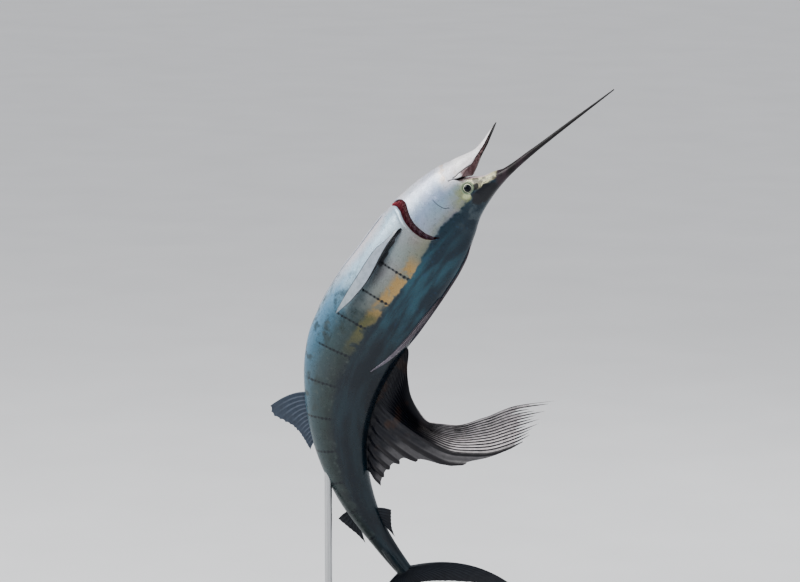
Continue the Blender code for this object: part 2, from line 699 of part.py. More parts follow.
def tail_fin(name, sign):
    point, ahead, dorsal, left = frame(TAIL_END)
    start = point - ahead * GAP

    def middle(u, v):
        back, high = smooth(TAIL_EDGE, u)
        foot = TAIL_ROOT_HALF * (1.0 - u)
        bow = 0.045 * (1.0 - u) ** 1.5
        along, up = back * v, foot + (high - foot) * v
        swell = 4.0 * v * (1.0 - v)
        length = math.hypot(back, high - foot)
        along -= swell * bow * (high - foot) / length
        up += swell * bow * back / length
        up += 0.5 * GAP
        bend = 0.05 * (along / 0.25) * abs(along / 0.25)
        return start - ahead * max(along, 0.0) + dorsal * (sign * up) + left * bend

    def thick(u, v):
        root = 2 * 19.0 * MM * math.sqrt(1.0 - 0.88 * (1.0 - u) ** 2)
        edge = (1.0 + 3.2 * (1.0 - u) ** 6 * (1.0 - v)) * MM
        return edge + (root - edge) * math.exp(-v * (5.0 + 6.0 * u)) * (1.0 - v)

    ray_fin(name, dark_fin_stuff, 10, 10, middle, thick, lambda v: (1.8 - 1.0 * v) * MM)


tail_fin("tail_fin_upper", 1.0)
tail_fin("tail_fin_lower", -1.0)

# Breast fins, long and narrow, laid back along each flank.
BREAST_UPPER = (
    (0.0, 0.950, -0.126), (0.06, 0.972, -0.120), (0.16, 1.010, -0.116), (0.35, 1.090, -0.106),
    (0.60, 1.185, -0.099), (0.80, 1.268, -0.108), (1.0, 1.352, -0.133),
)
BREAST_LOWER = (
    (0.0, 0.978, -0.106), (0.06, 0.990, -0.128), (0.16, 1.026, -0.142), (0.35, 1.088, -0.158),
    (0.60, 1.180, -0.153), (0.80, 1.262, -0.146), (1.0, 1.345, -0.137),
)
BREAST_OFF = ((0.0, 0.0), (0.03, 0.008), (0.06, 0.013), (0.16, 0.019), (0.50, 0.026), (1.0, 0.036))
BREAST_FOOT = ((0.955, -0.102), (0.975, -0.134))


def breast_fin(name, side):
    def middle(u, v):
        foot_s = BREAST_FOOT[0][0] + (BREAST_FOOT[1][0] - BREAST_FOOT[0][0]) * u
        foot_h = BREAST_FOOT[0][1] + (BREAST_FOOT[1][1] - BREAST_FOOT[0][1]) * u
        s_up, h_up = smooth(BREAST_UPPER, v)
        s_low, h_low = smooth(BREAST_LOWER, v)
        blend = min(v / 0.10, 1.0)
        blend = blend * blend * (3 - 2 * blend)
        s = foot_s + (s_up + (s_low - s_up) * u - foot_s) * blend
        h = foot_h + (h_up + (h_low - h_up) * u - foot_h) * blend
        left = frame(s)[3]
        base = land(body_tree, at(s, h, 0.3 * side), -left * side, 4 * GAP)
        return base + left * (side * smooth(BREAST_OFF, v))

    def thick(u, v):
        return (0.9 + 5.0 * math.exp(-7.0 * v) + 1.6 * (1.0 - u) ** 3 * (1.0 - v)) * MM

    ray_fin(name, pale_fin_stuff, 7, 13, middle, thick, lambda v: (1.5 - 0.9 * v) * MM,
            row_at=lambda v: v ** 1.5, seat=(body_tree, lambda u: frame(0.965)[3] * side))


breast_fin("breast_fin_left", 1)
breast_fin("breast_fin_right", -1)

# Belly fins: a pair of long thin blades folded back under the belly.
BELLY_FIN = (0.962, 1.420)


def belly_fin(name, side):
    def middle(u, v):
        s = BELLY_FIN[0] + 0.012 * u + (BELLY_FIN[1] - BELLY_FIN[0] - 0.012 * u) * v
        _, _, dorsal, left = frame(s)
        apart = side * (0.009 - 0.004 * v + (u - 0.5) * (0.010 - 0.008 * v))
        foot = land(body_tree, at(s, -0.40, apart), dorsal, 2 * GAP)
        return foot - dorsal * (0.0024 + 0.002 * min(v / 0.05, 1.0))

    def thick(u, v):
        return (2.6 - 1.6 * v) * MM

    ray_fin(name, pale_fin_stuff, 3, 17, middle, thick, lambda v: (1.0 - 0.4 * v) * MM)


belly_fin("belly_fin_left", 1)
belly_fin("belly_fin_right", -1)

# Sail: the folded front rays as a ridge along the back and a blade laid over the left flank,
# and the main sail streaming from the back into a fan.
RIDGE = (0.835, 1.325)
RIDGE_HEIGHT = ((0.0, 0.003), (0.12, 0.006), (0.6, 0.008), (0.85, 0.006), (1.0, 0.003))
back_tree = tree_of("head", "torso_front", "torso_mid", "torso_rear", "tail_stock")


def ridge_middle(u, v):
    s = RIDGE[0] + (RIDGE[1] - RIDGE[0]) * v
    return midline_root(back_tree, s, True, 3 * GAP) + frame(s)[2] * (smooth(RIDGE_HEIGHT, v) * u)


ray_fin("sail_ridge", sail_stuff, 4, 20, ridge_middle, lambda u, v: (4.4 - 2.6 * u) * MM, lambda v: 1.6 * MM)

BLADE_ROOT = (
    (0.0, 1.085, 8.0), (0.25, 1.18, 17.0), (0.50, 1.28, 26.0), (0.75, 1.38, 35.0), (1.0, 1.482, 47.0),
)
BLADE_WIDE = ((0.0, 0.003), (0.25, 0.013), (0.6, 0.014), (0.85, 0.009), (1.0, 0.002))


def blade_middle(u, v):
    s, degrees = smooth(BLADE_ROOT, v)
    angle = math.radians(degrees)
    _, _, dorsal, left = frame(s)
    start = skin(s, angle) + (dorsal * math.cos(angle) + left * math.sin(angle)) * 0.15
    out = dorsal * math.cos(angle) + left * math.sin(angle)
    foot = land(back_tree, start, -out, 3.2 * MM)
    along = dorsal * math.sin(angle) - left * math.cos(angle)
    return foot + (along * 0.62 + out * 0.78) * (smooth(BLADE_WIDE, v) * u)


ray_fin("sail_blade", sail_stuff, 4, 17, blade_middle, lambda u, v: 1.3 * MM, lambda v: (1.8 - 0.8 * v) * MM)

# Rays of the main sail, as steps from their feet along X and Z: the first and the last one that
# reaches the fan.
FIRST_RAY = (
    (0.0, 0.0, 0.0), (0.10, 0.004, -0.084), (0.20, 0.012, -0.159), (0.31, 0.046, -0.229),
    (0.42, 0.103, -0.275), (0.55, 0.197, -0.275), (0.70, 0.321, -0.235), (0.85, 0.451, -0.179),
    (1.0, 0.607, -0.146),
)
FAN_RAY = (
    (0.0, 0.0, 0.0), (0.10, 0.042, -0.033), (0.20, 0.094, -0.068), (0.31, 0.147, -0.098),
    (0.42, 0.226, -0.135), (0.55, 0.332, -0.165), (0.70, 0.452, -0.158), (0.85, 0.572, -0.118),
    (1.0, 0.672, -0.058),
)
REAR_LENGTH = (                      # share of the last fan ray that the rays behind it keep
    (0.0, 1.0), (0.15, 0.72), (0.30, 0.48), (0.50, 0.32), (0.75, 0.22), (1.0, 0.15),
)
SAIL_BASE = (1.338, 1.620, 1.960)    # distances back of the feet of those two rays and the last
FAN_SHARE = 0.68


def sail_foot(u):
    if u < FAN_SHARE:
        return SAIL_BASE[0] + (SAIL_BASE[1] - SAIL_BASE[0]) * u / FAN_SHARE
    return SAIL_BASE[1] + (SAIL_BASE[2] - SAIL_BASE[1]) * (u - FAN_SHARE) / (1.0 - FAN_SHARE)


def sail_middle(u, v):
    s = sail_foot(u)
    share = min(u / FAN_SHARE, 1.0)
    v *= smooth(REAR_LENGTH, max(u - FAN_SHARE, 0.0) / (1.0 - FAN_SHARE))
    x, z = smooth(FIRST_RAY, v) * (1 - share) + smooth(FAN_RAY, v) * share
    foot = midline_root(back_tree, s, True, 2 * GAP)
    cup = 0.030 * math.sin(math.pi * share) * math.sin(math.pi * v)
    flow = foot + np.array((x, 0.0, z))
    flow[1] = foot[1] * (1.0 - v) + cup - 0.02 * v
    hold = max(1.0 - v / 0.10, 0.0) ** 2
    stem = foot + frame(s)[2] * (0.55 * v)
    return flow * (1 - hold) + stem * hold


ray_fin(
    "sail_main", sail_stuff, 17, 18, sail_middle,
    lambda u, v: (1.3 + 3.0 * max(1.0 - v / 0.08, 0.0)) * MM, lambda v: (2.6 - 1.4 * v) * MM,
    pleat=lambda v: 2.4 * MM * min(v / 0.15, 1.0), foot=sail_foot,
)

# Stand: a flat base and one upright rod that enters the belly behind the vent fin.
BASE_SIZE = (0.96, 0.60, 0.034)
BASE_CORNER = 0.05
ROD_RADIUS = 14.0 * MM
ROD_AT = (-0.205, 0.052)
ROD_TOP = 0.905
bm = bmesh.new()
bmesh.ops.create_cube(bm, size=1.0)
bmesh.ops.scale(bm, vec=BASE_SIZE, verts=bm.verts[:])
upright = [e for e in bm.edges if abs(e.verts[0].co.z - e.verts[1].co.z) > 0.5 * BASE_SIZE[2]]
bmesh.ops.bevel(bm, geom=upright, offset=BASE_CORNER, segments=4, affect="EDGES", profile=0.5)
rim_edges = [e for e in bm.edges if all(v.co.z > 0.4 * BASE_SIZE[2] for v in e.verts)]
bmesh.ops.bevel(bm, geom=rim_edges, offset=0.006, segments=1, affect="EDGES")
bmesh.ops.translate(bm, vec=(0.0, 0.0, 0.5 * BASE_SIZE[2]), verts=bm.verts[:])
mesh_object("stand_base", bm, stand_stuff, (0.0, 0.0, 0.0))


def pole(x, y, low, high, radius, sides=24):
    bm = bmesh.new()
    bmesh.ops.create_cone(bm, cap_ends=True, segments=sides, radius1=radius, radius2=radius, depth=high - low)
    bmesh.ops.translate(bm, vec=(x, y, 0.5 * (low + high)), verts=bm.verts[:])
    return bm


rod_foot = BASE_SIZE[2] + GAP
bore = loose_object(pole(*ROD_AT, rod_foot, ROD_TOP + GAP, ROD_RADIUS + GAP))
combine(NODES["tail_stock"], [bore])
mesh_object("stand_rod", pole(*ROD_AT, rod_foot, ROD_TOP, ROD_RADIUS), rod_stuff, (*ROD_AT, rod_foot))
COLLAR = (30.0 * MM, 24.0 * MM, 16.0 * MM)   # outer radius, upper radius, height
collar_rings = []
inner = ROD_RADIUS + GAP
for radius, z in (
    (inner, 0.0), (COLLAR[0], 0.0), (COLLAR[0], 0.4 * COLLAR[2]), (COLLAR[1], COLLAR[2]), (inner, COLLAR[2]),
):
    ring = []
    for t in circle(24):
        ring.append((ROD_AT[0] + radius * math.cos(t), ROD_AT[1] + radius * math.sin(t), rod_foot + z))
    collar_rings.append(ring)
bm = loft(collar_rings, closed_ends=False)
bm.verts.ensure_lookup_table()
for k in range(24):
    n = (k + 1) % 24
    bm.faces.new((bm.verts[4 * 24 + k], bm.verts[4 * 24 + n], bm.verts[n], bm.verts[k]))
mesh_object("stand_collar", bm, rod_stuff, (*ROD_AT, rod_foot))
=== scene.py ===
import math

import bmesh
import bpy
import numpy as np
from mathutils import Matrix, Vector


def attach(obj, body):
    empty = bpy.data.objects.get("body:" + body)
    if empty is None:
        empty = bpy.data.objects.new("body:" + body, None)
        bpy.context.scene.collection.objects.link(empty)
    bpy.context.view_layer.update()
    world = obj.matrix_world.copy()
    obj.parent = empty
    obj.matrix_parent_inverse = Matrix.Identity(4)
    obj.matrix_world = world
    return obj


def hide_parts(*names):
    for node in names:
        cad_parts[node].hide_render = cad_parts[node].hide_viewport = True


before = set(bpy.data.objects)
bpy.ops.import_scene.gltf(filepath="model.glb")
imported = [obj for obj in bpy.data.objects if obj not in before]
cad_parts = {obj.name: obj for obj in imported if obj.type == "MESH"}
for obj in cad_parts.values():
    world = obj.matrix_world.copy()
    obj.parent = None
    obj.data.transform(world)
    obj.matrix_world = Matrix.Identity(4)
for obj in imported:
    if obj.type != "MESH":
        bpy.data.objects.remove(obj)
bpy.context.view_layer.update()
print("frame loaded:", len(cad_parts), "nodes")

# the curved spine that every piece hangs on: s runs back from the bill tip, in metres
spine = {
    "tip": (0.971, 0.0, 2.410), "length": 2.9, "step": 0.001,
    "bend": (  # distance back, pitch, yaw of the forward direction in degrees
        (0.00, 38.0, 0.0), (0.57, 39.0, 0.0), (0.70, 43.0, 0.0), (0.90, 50.0, 0.0),
        (1.05, 54.0, 0.0), (1.30, 57.0, 0.0), (1.45, 62.0, -2.0), (1.60, 71.0, -6.0),
        (1.75, 82.0, -10.0), (1.90, 93.0, -14.0), (2.10, 106.0, -18.0), (2.30, 117.0, -20.0),
        (2.45, 121.0, -20.0), (2.90, 121.0, -20.0),
    ),
}
profile = {  # heights of the back, the belly and the upper lip over the spine, and half of the width
    "back": (
        (0.00, 0.0014), (0.07, 0.0022), (0.22, 0.0026), (0.37, 0.0034), (0.42, 0.0048),
        (0.48, 0.0078), (0.53, 0.0120), (0.59, 0.0215), (0.65, 0.0350), (0.73, 0.0580),
        (0.80, 0.0900), (0.90, 0.1240), (0.99, 0.1370), (1.10, 0.1405), (1.25, 0.1390),
        (1.45, 0.1280), (1.65, 0.1080), (1.85, 0.0810), (2.05, 0.0570), (2.25, 0.0370),
        (2.42, 0.0300),
    ),
    "belly": (
        (0.706, -0.1800), (0.722, -0.1862), (0.78, -0.2000), (0.85, -0.2130), (0.92, -0.2210),
        (1.05, -0.2260), (1.14, -0.2290), (1.24, -0.2370), (1.36, -0.2400), (1.47, -0.2360),
        (1.56, -0.2180), (1.68, -0.1820), (1.80, -0.1490), (1.95, -0.1130), (2.10, -0.0800),
        (2.25, -0.0500), (2.42, -0.0310),
    ),
    "lip": (
        (0.00, -0.0026), (0.07, -0.0045), (0.22, -0.0098), (0.37, -0.0140), (0.42, -0.0165),
        (0.48, -0.0185), (0.53, -0.0230), (0.57, -0.0370), (0.61, -0.0510), (0.65, -0.0760),
        (0.68, -0.0960), (0.706, -0.1120),
    ),
    "half": (
        (0.00, 0.0018), (0.07, 0.0042), (0.22, 0.0074), (0.37, 0.0102), (0.48, 0.0155),
        (0.56, 0.0250), (0.62, 0.0345), (0.68, 0.0450), (0.75, 0.0560), (0.85, 0.0700),
        (0.95, 0.0800), (1.10, 0.0890), (1.30, 0.0930), (1.50, 0.0880), (1.70, 0.0770),
        (1.90, 0.0600), (2.10, 0.0430), (2.25, 0.0310), (2.42, 0.0230),
    ),
    "fullness": 0.92,
}


def easeCurve(rows, s):  # curve through the rows that never overshoots them
    table = np.asarray(rows, float)
    x, y = table[:, 0], table[:, 1:]
    slope = np.diff(y, axis=0) / np.diff(x)[:, None]
    before, after = slope[:-1], slope[1:]
    same = before * after > 0
    total = np.where(same, before + after, 1.0)
    inner = np.where(same, 2 * before * after / total, 0.0)
    tangent = np.vstack([slope[:1], inner, slope[-1:]])
    s = np.clip(np.asarray(s, float), x[0], x[-1])
    i = np.clip(np.searchsorted(x, s, side="right") - 1, 0, len(x) - 2)
    w = (x[i + 1] - x[i])[..., None]
    t = (s - x[i])[..., None] / w
    out = (1 + 2 * t) * (1 - t) ** 2 * y[i] + t * (1 - t) ** 2 * w * tangent[i]
    out = out + t * t * (3 - 2 * t) * y[i + 1] + t * t * (t - 1) * w * tangent[i + 1]
    return out if y.shape[1] > 1 else out[..., 0]


def columnsOf(rows, s):  # the same curve, as one array for each column
    return np.moveaxis(easeCurve(rows, s), -1, 0)


def softStep(low, high, value):
    t = np.clip((value - low) / (high - low), 0.0, 1.0)
    return t * t * (3.0 - 2.0 * t)


def window(rises, full, falls, gone, value):
    return softStep(rises, full, value) * (1.0 - softStep(falls, gone, value))


def hump(distance, width):
    return np.exp(-(distance / width) ** 2)


def swell(value, exponent):
    return np.sign(value) * np.abs(value) ** exponent


def forwardAt(pitch, yaw):
    return np.stack([np.cos(pitch) * np.cos(yaw), np.sin(yaw), np.sin(pitch) * np.cos(yaw)], axis=-1)


def layPath():
    count = int(spine["length"] / spine["step"])
    pitch, yaw = np.radians(columnsOf(spine["bend"], (np.arange(count) + 0.5) * spine["step"]))
    steps = np.cumsum(forwardAt(pitch, yaw) * spine["step"], axis=0)
    return np.vstack([spine["tip"], np.array(spine["tip"]) - steps])


path = layPath()


def axes(s):  # point of the spine, then forward, dorsal and left directions
    pitch, yaw = np.radians(columnsOf(spine["bend"], s))
    k = np.clip(np.asarray(s, float) / spine["step"], 0.0, len(path) - 1.001)
    i = k.astype(int)
    point = path[i] + (path[i + 1] - path[i]) * (k - i)[..., None]
    ahead = forwardAt(pitch, yaw)
    dorsal = np.stack([np.sin(pitch), np.zeros_like(pitch), -np.cos(pitch)], axis=-1)
    return point, ahead, dorsal, np.cross(dorsal, ahead)


def onFish(s, h, l):
    point, _, dorsal, left = axes(s)
    return point + dorsal * np.asarray(h)[..., None] + left * np.asarray(l)[..., None]


def outline(name, s):
    return easeCurve(profile[name], s)


def slicePoint(top, low, half, angle, full=profile["fullness"]):  # height and offset round a slice
    return 0.5 * (top + low) + 0.5 * (top - low) * swell(np.cos(angle), full), half * swell(np.sin(angle), full)


def sliceNormal(top, low, half, angle):  # outward direction round a slice
    h, l = np.cos(angle) / np.maximum(0.5 * (top - low), 1e-4), np.sin(angle) / np.maximum(half, 1e-4)
    size = np.hypot(h, l)
    return h / size, l / size


def flankWidth(s, h, top, low):  # half width of a slice at a height
    c = np.abs((h - 0.5 * (top + low)) / (0.5 * (top - low)))
    c = np.clip(c, 0.0, 1.0) ** (1.0 / profile["fullness"])
    return outline("half", s) * np.sqrt(1.0 - c * c) ** profile["fullness"]


# mesh helpers
def meshPiece(name, points, faces, fields=None, sharp=None):
    mesh = bpy.data.meshes.new(name)
    mesh.from_pydata([tuple(p) for p in np.asarray(points, float)], [], faces)
    for key, values in (fields or {}).items():
        values = np.asarray(values, np.float32).ravel()
        mesh.attributes.new(key, "FLOAT", "POINT").data.foreach_set("value", values)
    bm = bmesh.new()
    bm.from_mesh(mesh)
    bmesh.ops.recalc_face_normals(bm, faces=bm.faces[:])
    if bm.calc_volume(signed=True) < 0:
        bmesh.ops.reverse_faces(bm, faces=bm.faces[:])
    bm.to_mesh(mesh)
    bm.free()
    mesh.shade_smooth()
    if sharp:
        mesh.set_sharp_from_angle(angle=math.radians(sharp))
    piece = bpy.data.objects.new(name, mesh)
    bpy.context.scene.collection.objects.link(piece)
    return piece


def gridFaces(rows, columns, aroundToo=False, base=0):
    faces = []
    for i in range(rows - 1):
        for j in range(columns if aroundToo else columns - 1):
            n = (j + 1) % columns
            a, b = base + i * columns, base + (i + 1) * columns
            faces.append((a + j, a + n, b + n, b + j))
    return faces


def capFan(points, faces, ring):
    hub = len(points)
    points.append(np.mean([points[k] for k in ring], axis=0))
    for k, n in zip(ring, ring[1:] + ring[:1]):
        faces.append((hub, n, k))


def capEnds(points, faces, rows, columns):
    capFan(points, faces, list(range(columns)))
    capFan(points, faces, [(rows - 1) * columns + k for k in range(columns)][::-1])


def loftPiece(name, grid, fields, sharp=None):  # rings of points, closed at both ends
    rows, columns = grid.shape[:2]
    points = [tuple(p) for p in grid.reshape(-1, 3)]
    faces = gridFaces(rows, columns, aroundToo=True)
    capEnds(points, faces, rows, columns)
    for key in fields:
        values = np.broadcast_to(fields[key], (rows, columns)).ravel()
        fields[key] = np.concatenate([values, [values[0], values[-1]]])
    return meshPiece(name, points, faces, fields, sharp)


def give(piece, stuff, slotName, *nodes):
    piece.data.materials.clear()
    piece.data.materials.append(stuff)
    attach(piece, "root")
    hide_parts(*nodes)


# material helpers, which all work on the finish on the bench
bench = {"tree": None, "shader": None}


class wire:  # output of a node that adds and multiplies like a number
    def __init__(self, socket):
        self.socket = socket

    def __add__(self, other):
        return mathOf("ADD", self, other)

    def __sub__(self, other):
        return mathOf("SUBTRACT", self, other)

    def __rsub__(self, other):
        return mathOf("SUBTRACT", other, self)

    def __mul__(self, other):
        return mathOf("MULTIPLY", self, other)

    def __truediv__(self, other):
        return mathOf("DIVIDE", self, other)


def plugIn(value, socket):
    if isinstance(value, wire):
        bench["tree"].links.new(value.socket, socket)
    else:
        socket.default_value = (*value, 1.0) if socket.type == "RGBA" else value


def toShader(**sockets):
    for key, value in sockets.items():
        plugIn(value, bench["shader"].inputs[key.replace("_", " ")])


def newFinish(name, **sockets):
    stuff = bpy.data.materials.new(name)
    stuff.use_nodes = True
    bench["tree"] = stuff.node_tree
    bench["shader"] = stuff.node_tree.nodes["Principled BSDF"]
    toShader(**sockets)
    return stuff


def addNode(kind, output, inputs=None, **settings):
    made = bench["tree"].nodes.new(kind)
    for key, value in settings.items():
        setattr(made, key, value)
    for key, value in (inputs or {}).items():
        plugIn(value, made.inputs[key])
    return wire(made.outputs[output])


def mathOf(operation, a, b=0.0):
    return addNode("ShaderNodeMath", 0, {0: a, 1: b}, operation=operation)


def field(name):
    return addNode("ShaderNodeAttribute", "Fac", attribute_name=name)


def span(value, low, high, toLow=0.0, toHigh=1.0):
    inputs = {"Value": value, "From Min": low, "From Max": high, "To Min": toLow, "To Max": toHigh}
    return addNode("ShaderNodeMapRange", "Result", inputs, interpolation_type="SMOOTHSTEP")


def blendOf(share, a, b, mode="MIX"):
    return addNode("ShaderNodeMix", 2, {0: share, 6: a, 7: b}, data_type="RGBA", blend_type=mode)


def layersOn(colour, *layers):  # each layer is a share and the colour that covers what is under it
    for share, cover in layers:
        colour = blendOf(share, colour, cover)
    return colour


def rampOf(value, stops):
    made = addNode("ShaderNodeValToRGB", "Color", {"Fac": value})
    marks = made.socket.node.color_ramp.elements
    for mark, (place, colour) in ((marks[1], stops[-1]), (marks[0], stops[0])):
        mark.position = place
        mark.color = (*colour, 1.0)
    for place, colour in stops[1:-1]:
        marks.new(place).color = (*colour, 1.0)
    return made


def placeOf():
    return addNode("ShaderNodeTexCoord", "Object")


def grain(scale, detail, where=None):
    inputs = {"Vector": where or placeOf(), "Scale": scale, "Detail": detail}
    return addNode("ShaderNodeTexNoise", "Fac", inputs)


def sway(noise, amount):  # noise as a small shift to both sides
    return (noise - 0.5) * amount


def flatPoint(x, y):
    return addNode("ShaderNodeCombineXYZ", 0, {"X": x, "Y": y})


def farOff(x, y):
    return addNode("ShaderNodeVectorMath", "Value", {0: flatPoint(x, y)}, operation="LENGTH")


def raiseFrom(height, strength, distance):
    inputs = {"Height": height, "Strength": strength, "Distance": distance}
    toShader(Normal=addNode("ShaderNodeBump", "Normal", inputs))


# skin: one mesh from the bill to the root of the tail
skin = {
    "around": 144,
    "tipRows": (0.0016, 0.0028), "billRows": (0.005, 0.55, 90), "jawRows": (0.552, 0.7045, 84),
    "headRows": 96, "slotRows": 26, "shoulderRows": 34, "bodyRows": 300,
    "wallAt": 0.706, "wallBow": 0.015, "bodyFrom": 1.02, "end": 2.42,
    "gillEdge": (  # degrees from the back, rear edge of the cover, front edge of the shoulder
        (0.0, 0.8740, 0.8745), (67.5, 0.8765, 0.8775), (78.75, 0.8920, 0.9120),
        (90.0, 0.9030, 0.9310), (101.25, 0.9055, 0.9360), (112.5, 0.9000, 0.9350),
        (123.75, 0.8890, 0.9300), (135.0, 0.8810, 0.9230), (146.25, 0.8860, 0.9240),
        (157.5, 0.9000, 0.9320), (168.75, 0.9200, 0.9410), (180.0, 0.9360, 0.9390),
    ),
    "gillDepth": 0.0145, "coverSwell": 0.0028, "roofRise": 0.005, "lipHigh": 0.0016,
    "eye": (0.676, -0.045), "brow": (0.668, -0.019), "nostril": (0.612, -0.0215),  # distance back, height
    "eyeSpot": (0.6490, -0.0310), "eyeGlint": (0.697, -0.027),
    "eyeRim": 0.0196, "socketDeep": 0.008, "nostrilGap": 0.004,
    "cornerAt": (0.655, 0.680, 0.715, 0.765),  # pale skin at the corner of the mouth
    "hills": {  # height and width of the small forms raised from the skin or sunk into it
        "shoulder": (0.0016, 0.006), "cheekGroove": (0.0014, 0.0017), "cheekSwell": (0.0009, 0.009),
        "rim": (0.0015, 0.0022), "brow": (0.0016, 0.014), "nostril": (0.0022, 0.0017),
        "sideLine": (0.0005, 0.0018), "keel": (0.0055, 0.0042),
    },
    "shadeWedge": (  # upper edge of the painted shade wedge behind the breast fin
        (0.950, -0.118), (0.990, -0.111), (1.023, -0.106), (1.056, -0.101), (1.093, -0.094),
        (1.131, -0.087), (1.180, -0.079),
    ),
    "cheekLine": (
        (-0.106, 0.8000), (-0.082, 0.7985), (-0.062, 0.7940), (-0.047, 0.7870), (-0.036, 0.7720),
    ),
    "backLine": (  # where the dark back ends on the flank
        (0.00, -0.060), (0.50, -0.060), (0.55, -0.013), (0.595, -0.011), (0.631, -0.016),
        (0.650, -0.021), (0.667, -0.027), (0.688, -0.011), (0.744, -0.005), (0.80, -0.006),
        (0.859, -0.007), (0.913, 0.002), (0.984, 0.013), (1.057, 0.026), (1.117, 0.019),
        (1.172, 0.017), (1.238, 0.012), (1.301, 0.005), (1.382, -0.003), (1.60, -0.020),
        (2.00, -0.010), (2.42, 0.002),
    ),
    "keels": (0.0115, 2.285, 2.425),  # height off the middle, start and end
}


def gillEdges(degrees):
    return columnsOf(skin["gillEdge"], np.where(degrees > 180.0, 360.0 - degrees, degrees))


def gapTo(name, s, h, wide=1.0, tall=1.0):
    return np.hypot((s - skin[name][0]) * wide, (h - skin[name][1]) * tall)


def hill(name, distance):
    high, wide = skin["hills"][name]
    return high * hump(distance, wide)


def cheekGap(s, h):  # offset from the upright line on the cheek, and where along it that counts
    rows = skin["cheekLine"]
    slope = (easeCurve(rows, h + 0.001) - easeCurve(rows, h - 0.001)) / 0.002
    ends = window(rows[0][0], rows[0][0] + 0.012, rows[-1][0] - 0.003, rows[-1][0], h)
    return (s - easeCurve(rows, h)) / np.sqrt(1.0 + slope * slope), ends


def skinRelief(s, h, degrees):
    folded = np.where(degrees > 180.0, 360.0 - degrees, degrees)
    sideways = (folded > 35) & (folded < 160)
    cover, shoulder = gillEdges(degrees)
    t = np.clip((s - cover) / np.maximum(shoulder - cover, 1e-6), 0.0, 1.0)
    gape = softStep(0.002, 0.012, shoulder - cover)
    slot = gape * np.minimum(softStep(0.0, 0.10, t), softStep(0.0, 0.42, 1.0 - t))
    out = -skin["gillDepth"] * slot
    out = out + skin["coverSwell"] * gape * softStep(-0.055, -0.004, s - cover) * (t <= 0.0)
    out = out + hill("shoulder", s - shoulder - 0.006) * gape * (t >= 1.0)

    off, counts = cheekGap(s, h)
    cheek = hill("cheekGroove", off) - hill("cheekSwell", off + 0.009)
    out = out - cheek * counts * (folded > 20) * (folded < 160)

    rim, r = skin["eyeRim"], gapTo("eye", s, h)
    socket = skin["socketDeep"] * (1.0 - softStep(rim - 0.006, rim - 0.0018, r))
    out = out + (hill("rim", r - rim - 0.0005) - socket + hill("brow", gapTo("brow", s, h))) * sideways
    for k in (-skin["nostrilGap"], skin["nostrilGap"]):
        out = out - hill("nostril", gapTo("nostril", s - k, h, tall=1.2)) * sideways

    sideLine = 0.012 + 0.03 * softStep(0.95, 1.25, 2.2 - s)
    out = out - hill("sideLine", h - sideLine) * (s > 0.96) * sideways
    keelHigh, keelFrom, keelTo = skin["keels"]
    length = window(keelFrom, keelFrom + 0.05, keelTo - 0.03, keelTo + 0.01, s)
    for k in (-keelHigh, keelHigh):
        out = out + hill("keel", h - k) * length * (folded > 25) * (folded < 155)
    return out * softStep(0.50, 0.58, s)


def shadeWedgeShare(s, h):  # painted shade: a dark wedge in the gap that opens behind the root of the breast fin
    high = easeCurve(skin["shadeWedge"], s)
    deep = 0.010 + 0.10 * (s - 0.96)
    inside = softStep(0.0, 0.0035, high - h) * softStep(0.0, 0.004, h - high + deep)
    return inside * window(0.950, 0.965, 1.085, 1.150, s)


def skinRows(angles, cover, shoulder):  # rows with the mouth open under them, then the closed ones
    whole = np.ones_like(angles)
    mouthRows = [*skin["tipRows"], *np.linspace(*skin["billRows"]), *np.linspace(*skin["jawRows"])]
    wall = skin["wallAt"] + skin["wallBow"] * np.maximum(-np.cos(angles), 0.0)
    first, body = wall + 0.002, skin["bodyFrom"] * whole
    rows = [wall]
    for start, end, steps in (
        (first, cover, np.linspace(0.0, 1.0, skin["headRows"])),
        (cover, shoulder, np.linspace(0.0, 1.0, skin["slotRows"] + 1)[1:]),
        (shoulder, body, np.linspace(0.0, 1.0, skin["shoulderRows"] + 1)[1:] ** 1.2),
        (body, skin["end"], np.linspace(0.0, 1.0, skin["bodyRows"] + 1)[1:]),
    ):
        rows.extend(start + (end - start) * t for t in steps)
    return np.array([s * whole for s in mouthRows]), np.array(rows)


